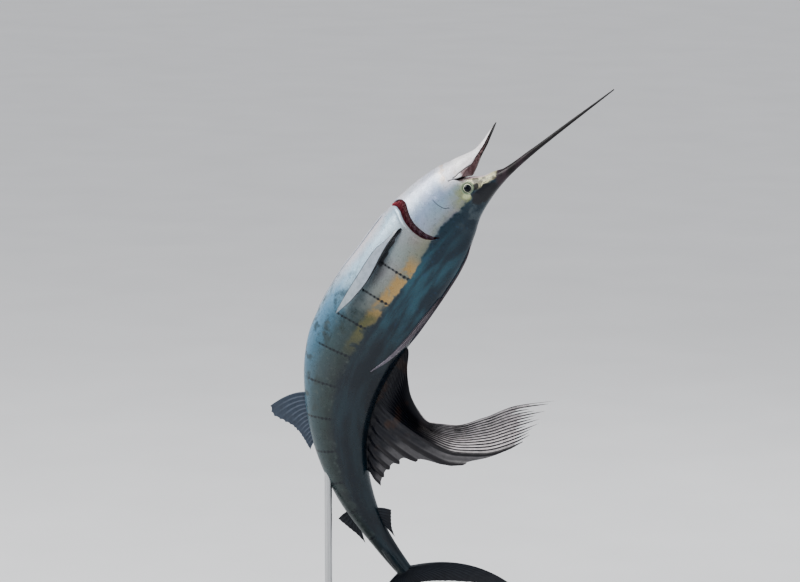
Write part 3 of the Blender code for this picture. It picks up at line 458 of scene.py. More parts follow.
def skinGrid():
    angles = np.linspace(0.0, 2 * np.pi, skin["around"], endpoint=False)
    degrees = np.degrees(angles)
    c, d = np.cos(angles)[None, :], np.sin(angles)[None, :]
    mouthRows, closedRows = skinRows(angles, *gillEdges(degrees))
    s = np.vstack([mouthRows, closedRows])
    jaw = (np.arange(len(s)) < len(mouthRows))[:, None]
    throat = (np.arange(len(s)) == len(mouthRows))[:, None]
    top, belly, half, lipLine = (outline(name, s) for name in ("back", "belly", "half", "lip"))
    low = np.where(jaw, lipLine, belly)
    full = profile["fullness"] + (1.0 - profile["fullness"]) * (1.0 - softStep(0.45, 0.62, s))
    h, l = slicePoint(top, low, half, angles[None, :], full)

    # the closed head is cut along the lip, and the open rows run into that cut
    under = softStep(0.72, 0.93, -c) * jaw
    h2, l2 = slicePoint(top, belly, half, angles[None, :], full)
    below = np.clip((low - h2) / np.maximum(low - belly, 1e-6), 0.0, 1.0)
    h2 = np.where(h2 < low, low + 0.002 * below, h2)
    l2 = np.where(below > 0, np.sign(l2) * flankWidth(s, low, top, belly) * (1.0 - below) ** 0.8, l2)
    toCut = softStep(0.655, 0.702, s) * jaw
    h, l = h + (h2 - h) * toCut, l + (l2 - l) * toCut
    under = np.maximum(under, softStep(0.02, 0.15, below) * toCut)

    grown = softStep(0.555, 0.63, s) * jaw
    h = h + skin["roofRise"] * under * grown * (1.0 - np.abs(d))
    nh, nl = sliceNormal(top, low, half, angles[None, :])
    out = skinRelief(s, h, np.broadcast_to(degrees[None, :], s.shape))
    lips = hump(degrees[None, :] - 138.0, 9.0) + hump(degrees[None, :] - 222.0, 9.0)
    out = out + skin["lipHigh"] * lips * grown * softStep(0.50, 0.58, s)
    h, l = h + nh * out, l + nl * out

    off, counts = cheekGap(s, h)
    gap = skin["nostrilGap"]
    aheadOfLip = 1.0 - softStep(0.003, 0.011, h - lipLine)
    fields = {
        "along": s, "high": h, "down": easeCurve(skin["backLine"], s) - h,
        "cheekGap": off, "cheekSpan": counts,
        "barS": s + 0.15 * (h + 0.05),  # the upright rows lean a little
        "mouth": under * grown * (1.0 - softStep(0.70, 0.90, np.abs(l) / half)) + throat * (c < -0.45),
        "corner": (1.0 - softStep(0.004, 0.036, h - lipLine)) * window(*skin["cornerAt"], s),
        # painted highlight along the edge of the upper lip
        "lipHighlight": aheadOfLip * window(0.575, 0.610, 0.685, 0.700, s),
        "slot": np.clip(-out / skin["gillDepth"], 0.0, 1.0) * (s > 0.86) * (s < 0.95),
        # painted shade in the nostril pits
        "nostrilShade": sum(hump(gapTo("nostril", s + k, h + j), 0.0022) for k, j in ((gap, 0.0), (-gap, 0.001))),
        "eyeGap": gapTo("eye", s, h), "eyeSpot": gapTo("eyeSpot", s, h, wide=0.9),
        "eyeGlint": gapTo("eyeGlint", s, h, wide=0.9, tall=1.1),
        "shadeWedge": shadeWedgeShare(s, h) * (d ** 2 > 0.2),
    }
    return onFish(s, h, l), fields


hideNoise = ((9.0, 4.0), (24.0, 4.0), (60.0, 5.0))  # scale and detail, broad to fine
backRagged = (0.034, 0.014)  # how far the middling and the fine noise shift the back's edge


def backEdge(middling, fine):  # depth below the ragged edge of the dark back
    return field("down") + (sway(middling, backRagged[0]) + sway(fine, backRagged[1]))


headLook = {
    "depth": 0.21,  # over this height the colours run from the back to the throat
    "down": (
        (0.00, (0.050, 0.065, 0.075)), (0.07, (0.18, 0.20, 0.18)), (0.20, (0.23, 0.28, 0.34)),
        (0.42, (0.195, 0.285, 0.410)), (0.60, (0.25, 0.34, 0.46)), (0.74, (0.42, 0.50, 0.60)),
        (0.86, (0.58, 0.64, 0.73)), (1.00, (0.80, 0.80, 0.83)),
    ),
    "pearl": ((0.35, (0.32, 0.50, 0.52)), (0.65, (0.58, 0.46, 0.62))), "pearlShare": 0.15,
    "corner": (0.76, 0.74, 0.77), "smudge": (0.60, 0.44, 0.30), "speck": (0.10, 0.11, 0.12),
    "dull": 0.22, "scaleSize": 320.0,
}


def headColour(edge, broad):  # from the dark back down over the gill cover to the white throat
    colour = rampOf(edge / headLook["depth"], headLook["down"])
    return blendOf(headLook["pearlShare"], colour, rampOf(broad, headLook["pearl"]))


def cornerColour(colour, middling):  # pale skin with warm smudges round the corner of the mouth
    corner = field("corner")
    smudged = corner * span(middling, 0.52, 0.64, 0.0, 0.50)
    return layersOn(colour, (corner * 0.75, headLook["corner"]), (smudged, headLook["smudge"]))


def finishHide(colour, edge, fine, gloss):  # specks, silver, wetness and fine scales
    specks = span(grain(260.0, 2.0), 0.35, 0.75, 0.0, 0.22)
    silver = span(edge, 0.000, 0.030, 0.0, 0.30) * span(field("along"), 0.60, 0.75)
    toShader(
        Base_Color=blendOf(specks, colour, headLook["speck"], "MULTIPLY"), Metallic=silver,
        Roughness=span(fine, 0.25, 0.75, 0.24, 0.42) + (1.0 - gloss) * headLook["dull"],
    )
    inputs = {"Vector": placeOf(), "Scale": headLook["scaleSize"]}
    scales = addNode("ShaderNodeTexVoronoi", "Distance", inputs, feature="SMOOTH_F1")
    raiseFrom(scales * 0.5 + fine * 0.9, 0.16, 0.0016)


hideLook = {
    "depth": 0.24,  # over this height the colours run from the back to the belly
    "fore": (
        (0.00, (0.055, 0.062, 0.048)), (0.08, (0.15, 0.155, 0.11)), (0.26, (0.18, 0.20, 0.185)),
        (0.48, (0.24, 0.29, 0.31)), (0.66, (0.33, 0.45, 0.54)), (0.84, (0.40, 0.58, 0.72)),
        (1.00, (0.80, 0.78, 0.84)),
    ),
    "aft": (
        (0.00, (0.009, 0.016, 0.020)), (0.15, (0.024, 0.036, 0.036)), (0.42, (0.040, 0.070, 0.080)),
        (0.64, (0.070, 0.150, 0.210)), (0.84, (0.145, 0.290, 0.430)), (1.00, (0.34, 0.49, 0.62)),
    ),
    "sheen": ((0.30, (0.34, 0.50, 0.46)), (0.50, (0.50, 0.50, 0.50)), (0.70, (0.60, 0.44, 0.52))),
    "finShadow": (0.060, 0.066, 0.068), "cloud": (0.030, 0.045, 0.045), "fleck": (0.10, 0.12, 0.11),
    "bronze": (0.330, 0.225, 0.100), "gold": (0.095, 0.095, 0.045), "dots": (0.010, 0.014, 0.020),
    "backDark": (0.0055, 0.0210, 0.0360), "backTeal": (0.0170, 0.0760, 0.1080),
    "backBlue": (0.0180, 0.0560, 0.1100), "backAft": (0.0030, 0.0070, 0.0130),
    "crown": (0.070, 0.095, 0.110), "patch": (0.005, 0.007, 0.012),
    "cheek": (0.24, 0.27, 0.11), "lip": (0.60, 0.58, 0.38), "lipHighlight": (0.78, 0.73, 0.77),
    "speckle": (0.045, 0.040, 0.035), "line": (0.02, 0.025, 0.03),
    "eyeRing": (0.20, 0.26, 0.17), "glint": (0.56, 0.62, 0.38),
    "bill": (0.004, 0.003, 0.004), "billRoot": (0.034, 0.020, 0.028),
    "mouth": (0.130, 0.065, 0.070), "gum": (0.80, 0.66, 0.66), "gill": (0.060, 0.003, 0.008),
    "finShadowAt": (1.125, -0.088), "patchAt": (0.640, 0.008),  # distance back and height
    "billEnds": (0.584, 0.566), "roofPale": (0.668, 0.695), "faceEnds": (0.890, 0.915),  # distances back
    "goesDark": (1.15, 1.37), "goesGold": (1.20, 1.34), "barsFrom": (1.00, 1.05), "coat": 0.22,
    "firstBar": 1.090, "barApart": 0.064, "dotApart": 0.0085,  # half of each spacing
}


def flankColour(along, high, edge, rearward, noises):  # behind the gills, down to the belly
    look, (broad, middling, fine) = hideLook, noises
    depth = edge / look["depth"]
    # painted shadow: a dark smear that stands for the breast fin's shadow on the flank
    finShadow = farOff((along - look["finShadowAt"][0]) * 0.42, high - look["finShadowAt"][1])
    flank = layersOn(
        rampOf(depth, look["fore"]),
        (span(rearward, *look["goesDark"]), rampOf(depth, look["aft"])),
        # painted shadow of the breast fin
        (span(finShadow + sway(middling, 0.020), 0.036, 0.008, 0.0, 0.60), look["finShadow"]),
        # painted shade in the gap behind the breast fin
        (span(field("shadeWedge") + sway(fine, 0.5), 0.35, 0.70) * 0.95, look["patch"]),
        (span(middling, 0.50, 0.66) * span(rearward, 1.10, 1.45, 0.10, 0.75), look["cloud"]),
        (span(fine, 0.56, 0.70) * 0.26, look["fleck"]),
        (span(rearward, 1.05, 1.30, 0.13, 0.015), rampOf(broad, look["sheen"])),
    )
    band = span(edge, -0.002, 0.007) * span(edge, 0.058, 0.036) * span(middling, 0.36, 0.50)
    warm = blendOf(span(rearward, *look["goesGold"]), look["bronze"], look["gold"])

    # upright rows of dots joined by a faint line
    leaning = field("barS") + sway(fine, 0.006) - look["firstBar"]
    barGap = mathOf("PINGPONG", leaning, look["barApart"])
    dotGap = mathOf("PINGPONG", high, look["dotApart"])
    smaller = farOff(barGap, dotGap) + span(edge, 0.015, 0.110, 0.0, 0.0016)
    dots = span(smaller + sway(fine, 0.005), 0.0066, 0.0044)
    bars = mathOf("MAXIMUM", dots, span(barGap, 0.0058, 0.0015) * 0.60)
    barZone = span(edge, -0.006, 0.004) * span(edge, 0.165, 0.125)
    return layersOn(
        flank,
        (band * (span(along, 0.98, 1.05) * span(along, 1.50, 1.34)), warm),
        (bars * (barZone * span(along, *look["barsFrom"])), look["dots"]),
    )


def faceColour(along, edge, eyeGap, broad, middling):  # gill cover, cheek, throat, snout and lips
    look = hideLook
    cheek = span(eyeGap, 0.105, 0.030) * span(middling, 0.32, 0.58)
    speckles = span(middling, 0.54, 0.62) * (span(along, 0.545, 0.575) * span(along, 0.700, 0.670))
    line = span(mathOf("ABSOLUTE", field("cheekGap")), 0.0020, 0.0008) * field("cheekSpan")
    face = layersOn(
        headColour(edge, broad),
        (cheek * span(edge, 0.110, 0.030, 0.0, 0.85), look["cheek"]),
        (span(along, 0.700, 0.655) * span(edge, -0.001, 0.006), look["lip"]),
        (speckles * 0.80, look["speckle"]),
        # painted highlight along the upper lip's edge
        (field("lipHighlight") * 0.85, look["lipHighlight"]),
    )
    return blendOf(line * 0.80, cornerColour(face, middling), look["line"])


def makeHide():
    look = hideLook
    stuff = newFinish("wetFishHide", Coat_Roughness=0.14, Specular_IOR_Level=0.35)
    along, high, eyeGap = field("along"), field("high"), field("eyeGap")
    broad, middling, fine = (grain(*noise) for noise in hideNoise)
    streaks = grain(1.0, 6.0, flatPoint(along * 5.0, high * 26.0))
    edge = backEdge(middling, fine)
    rearward = along + sway(middling, 0.20)
    flank = flankColour(along, high, edge, rearward, (broad, middling, fine))
    face = faceColour(along, edge, eyeGap, broad, middling)

    crown = span(along, 0.82, 0.74) * span(middling, 0.46, 0.60, 0.0, 0.60)
    back = layersOn(
        look["backDark"],
        (span(streaks, 0.40, 0.64) * span(along, 0.78, 1.00, 0.10, 1.0), look["backTeal"]),
        (span(fine, 0.56, 0.80, 0.0, 0.6), look["backBlue"]),
        (crown * span(along, 0.60, 0.66), look["crown"]),
        (span(rearward, 1.16, 1.42, 0.0, 0.80), look["backAft"]),
    )

    # dark patch before the eye, the eye's surround, then bill, roof of the mouth, gill slot deepened with
    # painted shade, and painted shade in the nostril pits
    patch = farOff((along - look["patchAt"][0]) * 0.45, high - look["patchAt"][1])
    patch = patch + (sway(fine, 0.012) + sway(middling, 0.020))
    uneven = sway(fine, 0.008) + sway(middling, 0.022)
    ring = span(eyeGap, 0.0160, 0.0180) * span(eyeGap, 0.0250, 0.0212)
    slanted = along + high * -0.5 + sway(fine, 0.02)
    bill = blendOf(span(along, 0.36, 0.50) * span(middling, 0.36, 0.60), look["bill"], look["billRoot"])
    roof = blendOf(span(along, *look["roofPale"]), look["gum"], look["mouth"])
    hide = layersOn(
        blendOf(span(along, *look["faceEnds"]), face, flank),
        (span(edge / span(along, 1.05, 1.40, 1.0, 3.0), 0.006, -0.004), back),
        (span(patch, 0.0310, 0.0220), look["patch"]),
        (span(field("eyeSpot") + uneven, 0.0150, 0.0105, 0.0, 0.95), look["patch"]),
        (span(field("eyeGlint") - uneven, 0.0165, 0.0070, 0.0, 0.70), look["glint"]),
        (ring * span(edge, -0.020, 0.010), look["eyeRing"]),
        (span(eyeGap, 0.0190, 0.0168) * 0.95, look["patch"]),
        (span(slanted, *look["billEnds"]), bill),
        (span(field("mouth"), 0.15, 0.60), roof),
        # the gills' dark red, deepened with painted shade down in the slot
        (span(field("slot"), 0.06, 0.30), look["gill"]),
        # painted shade in the nostril pits
        (field("nostrilShade"), look["patch"]),
    )
    gloss = span(along, 0.50, 0.64)
    wet = span(edge, 0.004, -0.010, 0.0, 0.16) * span(streaks, 0.35, 0.65, 0.4, 1.0)
    finishHide(hide, edge, fine, gloss)
    toShader(Coat_Weight=gloss * look["coat"] + wet)
    return stuff


fishSkin = loftPiece("fishSkin", *skinGrid(), sharp=52.0)
give(fishSkin, makeHide(), "body_skin",
     "bill", "head", "torso_front", "torso_mid", "torso_rear", "tail_stock")
print("skin:", len(fishSkin.data.vertices), "points")


# lower jaw: a trough that runs back into the head
jaw = {
    "rows": (  # distance back, underside, rim, half of the width
        (0.4535, -0.1750, -0.1722, 0.0016), (0.475, -0.1688, -0.1612, 0.0062),
        (0.505, -0.1600, -0.1475, 0.0112), (0.540, -0.1510, -0.1312, 0.0165),
        (0.580, -0.1450, -0.1172, 0.0240), (0.620, -0.1530, -0.1015, 0.0340),
        (0.648, -0.1618, -0.0925, 0.0395), (0.666, -0.1673, -0.0870, 0.0430),
        (0.680, -0.1712, -0.0945, 0.0454), (0.690, -0.1750, -0.1005, 0.0470),
        (0.7055, -0.1802, -0.1080, 0.0500), (0.722, -0.1864, -0.1140, 0.0520),
        (0.740, -0.1900, -0.1170, 0.0540),
    ),
    "count": 190, "outer": 80, "inner": 44, "wall": 0.0050, "trough": 0.62, "tongue": 0.45,
    "lipHigh": 0.0014, "creaseDeep": 0.0012,
    "rimBlack": (
        (0.4535, 0.0100), (0.500, 0.0060), (0.560, 0.0042), (0.610, 0.0030), (0.640, 0.0008), (0.740, 0.0008),
    ),
    "crease": (
        (0.600, -0.1100), (0.628, -0.1044), (0.644, -0.1046), (0.657, -0.1050), (0.680, -0.1078),
        (0.7011, -0.1108),
    ),
    "floor": (0.46, 0.53, 0.642, 0.674), "tilt": 0.0038,
    "joins": (0.635, 0.700), "joinsBelly": (0.690, 0.7055),
    "sinks": (0.7085, 0.015, 0.030, 0.0012),  # start, later below, length, depth
}


def jawGrid():
    s = np.linspace(jaw["rows"][0][0], jaw["rows"][-1][0], jaw["count"])[:, None]
    low, rim, half = columnsOf(jaw["rows"], s)
    low = low + (outline("belly", s) - low) * softStep(*jaw["joinsBelly"], s)
    outer = np.linspace(-1.0, 1.0, jaw["outer"])[None, :]
    inner = np.linspace(1.0, -1.0, jaw["inner"] + 2)[None, 1:-1]
    turn = outer * np.pi / 2
    h1 = rim + (low - rim) * swell(np.cos(turn), 0.80)
    l1 = half * swell(np.sin(turn), 0.86)
    shared = flankWidth(s, h1, outline("back", s), low) * np.sign(np.sin(turn))
    l1 = l1 + (shared - l1) * softStep(*jaw["joins"], s)

    lip = hump(np.abs(outer) - 0.93, 0.055) * window(0.49, 0.56, 0.64, 0.66, s)
    creaseOff = h1 - easeCurve(jaw["crease"], s)
    creaseSpan = window(0.612, 0.622, 0.694, 0.700, s) + 0.0 * h1
    fold = softStep(0.0, 0.0015, creaseOff) * window(0.616, 0.628, 0.657, 0.670, s)
    crease = hump(creaseOff, 0.0016) * creaseSpan
    l1 = l1 + (jaw["lipHigh"] * lip - jaw["creaseDeep"] * crease) * np.sign(outer)
    start, later, length, depth = jaw["sinks"]
    dive = depth * softStep(0.0, length, s - (start + later * np.cos(turn))) - 0.0002
    l1, h1 = l1 - dive * np.sin(turn), h1 + dive * np.cos(turn)

    deep = (rim - low) * jaw["trough"] * window(*jaw["floor"], s)
    turn = inner * np.pi / 2
    tongue = jaw["tongue"] * hump(inner, 0.42) * softStep(0.53, 0.60, s)
    h2 = rim + 0.0006 - deep * (swell(np.cos(turn), 0.7) - tongue)
    l2 = (np.abs(l1[:, -1:]) - np.minimum(jaw["wall"], 0.3 * half)) * np.sin(turn)
    h, l, none = np.hstack([h1, h2]), np.hstack([l1, l2]), 0.0 * h2
    rimLine = 1.0 - softStep(0.6, 1.0, (rim - h) / easeCurve(jaw["rimBlack"], s))
    h = h - jaw["tilt"] * window(0.60, 0.65, 0.668, 0.684, s) / half * l  # a little rolled
    s = s + 0.0 * h
    fields = {
        "along": s, "down": easeCurve(skin["backLine"], s) - h, "rim": rimLine,
        "inside": np.hstack([0.0 * h1, none + 1.0]), "fold": np.hstack([fold, none]),
        "crease": np.hstack([creaseOff, none + 1.0]), "creaseSpan": np.hstack([creaseSpan, none]),
        "corner": window(*skin["cornerAt"], s),
    }
    return onFish(s, h, l), fields


jawLook = {
    "skin": (0.86, 0.85, 0.86), "rosy": (0.62, 0.50, 0.54), "fleck": (0.25, 0.24, 0.26),
    "rim": (0.006, 0.005, 0.006), "fold": (0.16, 0.085, 0.085), "inside": (0.150, 0.082, 0.088),
    "insidePale": (0.34, 0.23, 0.23), "insideDark": (0.030, 0.018, 0.022), "tongueRoot": (0.30, 0.19, 0.20),
}


def makeJawHide():
    look = jawLook
    stuff = newFinish("wetJawHide", Coat_Weight=hideLook["coat"], Coat_Roughness=0.14, Specular_IOR_Level=0.35)
    along, fine, broad = field("along"), grain(70.0, 5.0), grain(18.0, 3.0)
    headBroad, middling, headFine = (grain(*noise) for noise in hideNoise)
    edge = backEdge(middling, headFine)
    inside = layersOn(
        look["inside"],
        (span(fine, 0.42, 0.58), look["insidePale"]),
        (span(broad, 0.46, 0.60, 0.0, 0.70), look["insideDark"]),
        (span(along, 0.585, 0.650, 0.0, 0.75), look["tongueRoot"]),
    )
    # painted shade: black line along the sunk crease of the lower jaw
    crease = span(mathOf("ABSOLUTE", field("crease")), 0.0026, 0.0013) * field("creaseSpan")
    colour = layersOn(
        look["skin"],
        (span(broad, 0.40, 0.72, 0.0, 0.55), look["rosy"]),
        (span(fine, 0.60, 0.72, 0.0, 0.30), look["fleck"]),
        (span(along, 0.655, 0.705), cornerColour(headColour(edge, headBroad), middling)),
        (span(field("inside"), 0.3, 0.7), inside),
        (field("rim"), look["rim"]),
        (field("fold") * 0.85, look["fold"]),
        (crease * 0.9, look["rim"]),
    )
    finishHide(colour, edge, headFine, 0.5)
    return stuff


give(loftPiece("jawSkin", *jawGrid()), makeJawHide(), "head_skin", "lower_jaw")
print("lower jaw built")


# eyes
eyes = {
    "radius": 0.0175, "bulge": 0.0065, "sunk": 0.0040, "rings": 40, "around": 72,
    "forward": 0.16, "up": 0.12, "roundness": 1.15, "ragged": 0.07,
    "out": (  # colours from the pupil to the rim
        (0.00, (0.002, 0.003, 0.006)), (0.62, (0.003, 0.006, 0.012)), (0.74, (0.010, 0.024, 0.034)),
        (0.80, (0.26, 0.29, 0.20)), (0.87, (0.80, 0.82, 0.66)), (0.94, (0.60, 0.63, 0.46)),
        (1.00, (0.02, 0.025, 0.02)),
    ),
}


def makeEye(name, side, stuff, node):
    s, h = skin["eye"]
    _, ahead, dorsal, left = axes(s)
    spot = onFish(s, h, side * flankWidth(s, h, outline("back", s), outline("lip", s)))
    facing = left * side + ahead * eyes["forward"] + dorsal * eyes["up"]
    facing = facing / np.linalg.norm(facing)
    upward = dorsal - facing * (dorsal @ facing)
    upward = upward / np.linalg.norm(upward)
    across = np.cross(upward, facing)
    rows, spread = [], []
    for i in range(1, eyes["rings"] + 1):
        t = i / eyes["rings"] * 0.5 * math.pi
        r = eyes["radius"] * math.sin(t)
        out = -eyes["sunk"] + (eyes["bulge"] + eyes["sunk"]) * math.cos(t) ** eyes["roundness"]
        for k in range(eyes["around"]):
            a = 2 * math.pi * k / eyes["around"]
            rows.append(spot + facing * out + (upward * math.sin(a) + across * math.cos(a)) * r)
            spread.append(math.sin(t))
    faces = gridFaces(eyes["rings"], eyes["around"], aroundToo=True)
    capEnds(rows, faces, eyes["rings"], eyes["around"])
    rows[-2] = spot + facing * eyes["bulge"]
    ball = meshPiece(name, rows, faces, {"spread": spread + [0.0, 1.0]})
    give(ball, stuff, "eye_ball", node)


def makeEyeGlass():
    stuff = newFinish(
        "eyeGlass", Roughness=0.12, Coat_Weight=0.25, Coat_Roughness=0.02, Specular_IOR_Level=0.12)
    fine = grain(240.0, 4.0)
    toShader(Base_Color=rampOf(field("spread") + sway(fine, eyes["ragged"]), eyes["out"]))
    raiseFrom(fine, 0.05, 0.0006)
    return stuff


eyeGlass = makeEyeGlass()
makeEye("eyeLeftBall", 1, eyeGlass, "eye_left")
makeEye("eyeRightBall", -1, eyeGlass, "eye_right")
print("eyes built")


# gills: filaments that lie in the open slot behind each gill cover
gills = {
    "from": 76.0, "to": 173.0, "count": 90, "rows": 9, "ring": 6, "seed": 7,  # angles from the back
    "reach": (0.80, 0.20), "wide": 0.0017, "thick": 1.2, "narrow": 0.55, "taper": 0.75,
    "inset": 0.0125, "lift": 0.0035, "arch": (0.85, 0.08), "wave": (0.5, 5.0, 0.9),
    "proud": 0.0040, "proudFrom": 0.78,  # the lowest stand out more
    "red": ((0.0, (0.018, 0.0015, 0.005)), (0.55, (0.085, 0.005, 0.014)), (1.0, (0.19, 0.014, 0.034))),
    "pink": (0.42, 0.040, 0.065), "grey": (0.135, 0.100, 0.145),
}


def slotPoint(degrees, t, inset):
    cover, shoulder = gillEdges(np.asarray(degrees))
    s = cover - 0.003 + (shoulder - cover + 0.006) * t
    a = np.radians(degrees)
    top, low, half = (outline(name, s) for name in ("back", "belly", "half"))
    (h, l), (nh, nl) = slicePoint(top, low, half, a), sliceNormal(top, low, half, a)
    return s, h - nh * inset, l - nl * inset


def makeGill(name, side, stuff, node):
    rows, faces, shade, turned = [], [], [], []
    random = np.random.default_rng(gills["seed"])
    (least, more), (archLong, archFrom) = gills["reach"], gills["arch"]
    waveHigh, waveFast, waveStep = gills["wave"]
    for k in range(gills["count"]):
        degrees = gills["from"] + (gills["to"] - gills["from"]) * k / (gills["count"] - 1)
        reach = least + more * random.random()
        rise = gills["inset"] - gills["lift"]
        rise = rise + gills["proud"] * float(softStep(gills["proudFrom"], 1.0, k / gills["count"]))
        base = len(rows)
        for j in range(gills["rows"]):
            t = reach * j / (gills["rows"] - 1)
            inset = gills["inset"] - rise * math.sin(math.pi * min(t * archLong + archFrom, 1.0))
            waved = degrees + waveHigh * math.sin(waveFast * t + k * waveStep)
            s, h, l = slotPoint(np.array(waved), t, inset)
            centre = onFish(s, h, side * l)
            s2, h2, l2 = slotPoint(np.array(waved + 1.0), t, inset)
            sideways = onFish(s2, h2, side * l2) - centre
            sideways = sideways / np.linalg.norm(sideways)
            normal = np.cross(axes(s)[1], sideways) * side
            thin = gills["wide"] * (1.0 - gills["taper"] * t)
            for q in range(gills["ring"]):
                a = 2 * math.pi * q / gills["ring"]
                across = sideways * (thin * gills["narrow"] * math.cos(a))
                rows.append(centre + across + normal * (thin * gills["thick"] * math.sin(a)))
                shade.append(t)
                turned.append(k / (gills["count"] - 1))
        last = base + (gills["rows"] - 1) * gills["ring"]
        faces.extend(gridFaces(gills["rows"], gills["ring"], aroundToo=True, base=base))
        faces.append(tuple(base + q for q in range(gills["ring"])))
        faces.append(tuple(last + q for q in range(gills["ring"])[::-1]))
    give(meshPiece(name, rows, faces, {"reach": shade, "turned": turned}), stuff, "gill_filaments", node)


def makeGillFlesh():
    stuff = newFinish("gillFlesh", Roughness=0.42, Coat_Weight=0.10, Coat_Roughness=0.3)
    fine, turned = grain(160.0, 3.0), field("turned")
    toShader(Base_Color=layersOn(
        rampOf(field("reach") + sway(fine, 0.5), gills["red"]),
        (span(turned, 0.45, 1.0, 0.0, 0.50), gills["pink"]),
        (span(turned, 0.50, 0.0, 0.0, 0.92), gills["grey"]),
    ))
    raiseFrom(fine, 0.3, 0.0008)
    return stuff


gillFlesh = makeGillFlesh()
makeGill("gillCombLeft", 1, gillFlesh, "gill_left")
makeGill("gillCombRight", -1, gillFlesh, "gill_right")
print("gills built")


# fins: thin vanes, where each ray is a ridge a few columns wide
vane = {
    "perRay": 8, "raySharp": 2.6, "seed": 3, "sharp": 60.0,
    "webWear": 0.45, "rayWear": 0.55, "wornFrom": 0.6, "pleatFull": 0.15,
}


def rayVane(name, stuff, slotName, node, middle, thick, rays, rows, ridge, pleat=0.0, ragged=0.0):
    count = rays * vane["perRay"] + 1
    u = np.linspace(0.0, 1.0, count)
    wave = np.cos(2 * np.pi * u * rays)  # 1 on a ray, -1 between two
    rayShare = np.clip(0.5 + 0.5 * wave, 0.0, 1.0) ** vane["raySharp"]
    random = np.random.default_rng(vane["seed"])
    uneven = np.interp(u * rays, np.arange(rays + 1), random.random(rays + 1))
    uneven = uneven * np.minimum(u * rays * vane["wornFrom"], 1.0)  # the first ray stays whole
    length = 1.0 - ragged * (vane["webWear"] * (1.0 - rayShare) + vane["rayWear"] * uneven)
    v = np.linspace(0.0, 1.0, rows)[None, :] * length[:, None]
    across = np.broadcast_to(u[:, None], v.shape)
    grid = middle(across, v)
    normal = np.cross(np.gradient(grid, axis=0), np.gradient(grid, axis=1))
    normal = normal / np.maximum(np.linalg.norm(normal, axis=2, keepdims=True), 1e-12)
    shift = pleat * np.minimum(v / vane["pleatFull"], 1.0) * wave[:, None]
    raised = (ridge[0] + (ridge[1] - ridge[0]) * v) * rayShare[:, None]  # at the root and at the tip
    half = 0.5 * thick(across, v) + 0.5 * raised
    points = np.concatenate([
        (grid + normal * (shift + half)[..., None]).reshape(-1, 3),
        (grid + normal * (shift - half)[..., None]).reshape(-1, 3),
    ])
    off = count * rows
    faces = gridFaces(count, rows) + [f[::-1] for f in gridFaces(count, rows, base=off)]
    rim = [i * rows for i in range(count)] + [(count - 1) * rows + j for j in range(1, rows)]
    rim += [i * rows + rows - 1 for i in range(count - 2, -1, -1)] + list(range(rows - 2, 0, -1))
    for a, b in zip(rim, rim[1:] + rim[:1]):
        faces.append((a, a + off, b + off, b))
    fields = {
        "ray": np.tile(np.repeat(rayShare, rows), 2), "root": np.tile(v.ravel(), 2),
        "chord": np.tile(np.repeat(u, rows), 2),
    }
    give(meshPiece(name, points, faces, fields, vane["sharp"]), stuff, slotName, node)


finLooks = {  # colours of a ray, the skin between two and the tips, then roughness
    "pale": dict(ray=(0.60, 0.63, 0.68), web=(0.42, 0.46, 0.54), tip=(0.50, 0.52, 0.56), rough=0.34),
    "dark": dict(ray=(0.022, 0.028, 0.038), web=(0.008, 0.011, 0.018), tip=(0.014, 0.016, 0.022), rough=0.38),
    "sail": dict(ray=(0.010, 0.009, 0.012), web=(0.006, 0.007, 0.012), tip=(0.74, 0.71, 0.72), rough=0.38,
                 blotch=(0.036, 0.018, 0.012), blotchShare=0.65, rayFrom=0.22, paleWeb=True),
    "blade": dict(ray=(0.26, 0.22, 0.25), web=(0.020, 0.019, 0.028), tip=(0.12, 0.11, 0.14), rough=0.38),
    "anal": dict(ray=(0.085, 0.105, 0.140), web=(0.030, 0.045, 0.070), tip=(0.040, 0.055, 0.080), rough=0.36),
}


def finFinish(name, ray, web, tip, rough, blotch=None, blotchShare=0.0, rayFrom=-0.5, paleWeb=False):
    stuff = newFinish(name, Coat_Weight=0.10, Coat_Roughness=0.22, Specular_IOR_Level=0.3)
    fine, broad = grain(55.0, 5.0), grain(14.0, 3.0)
    onRay, root = field("ray"), field("root")
    outward = root + broad * 0.25
    if paleWeb:  # the skin between the rays turns pale, further out on the rays behind
        chord = field("chord")
        tips = span(outward - chord * 0.20, 0.36, 0.62) * span(onRay, 0.45, 0.12)
        tips = tips * span(chord, 0.72, 0.62, 0.08, 1.0)
    else:
        tips = span(outward, 0.55, 1.10)
    colour = layersOn(web, (span(onRay, 0.25, 0.85) * span(root, rayFrom, rayFrom + 0.25), ray), (tips, tip))
    if blotch:
        spots = span(broad, 0.52, 0.64, 0.0, blotchShare) * span(root, 0.45, 0.20)
        colour = blendOf(spots, colour, blotch)
    colour = blendOf(span(fine, 0.35, 0.75, 0.0, 0.35), colour, (0.35, 0.35, 0.36), "MULTIPLY")
    toShader(Base_Color=colour, Roughness=span(fine, 0.3, 0.7, rough - 0.08, rough + 0.10))
    raiseFrom(fine, 0.25, 0.0010)
    return stuff, colour


finStuff = {key: finFinish(key + "Membrane", **look)[0] for key, look in finLooks.items()}

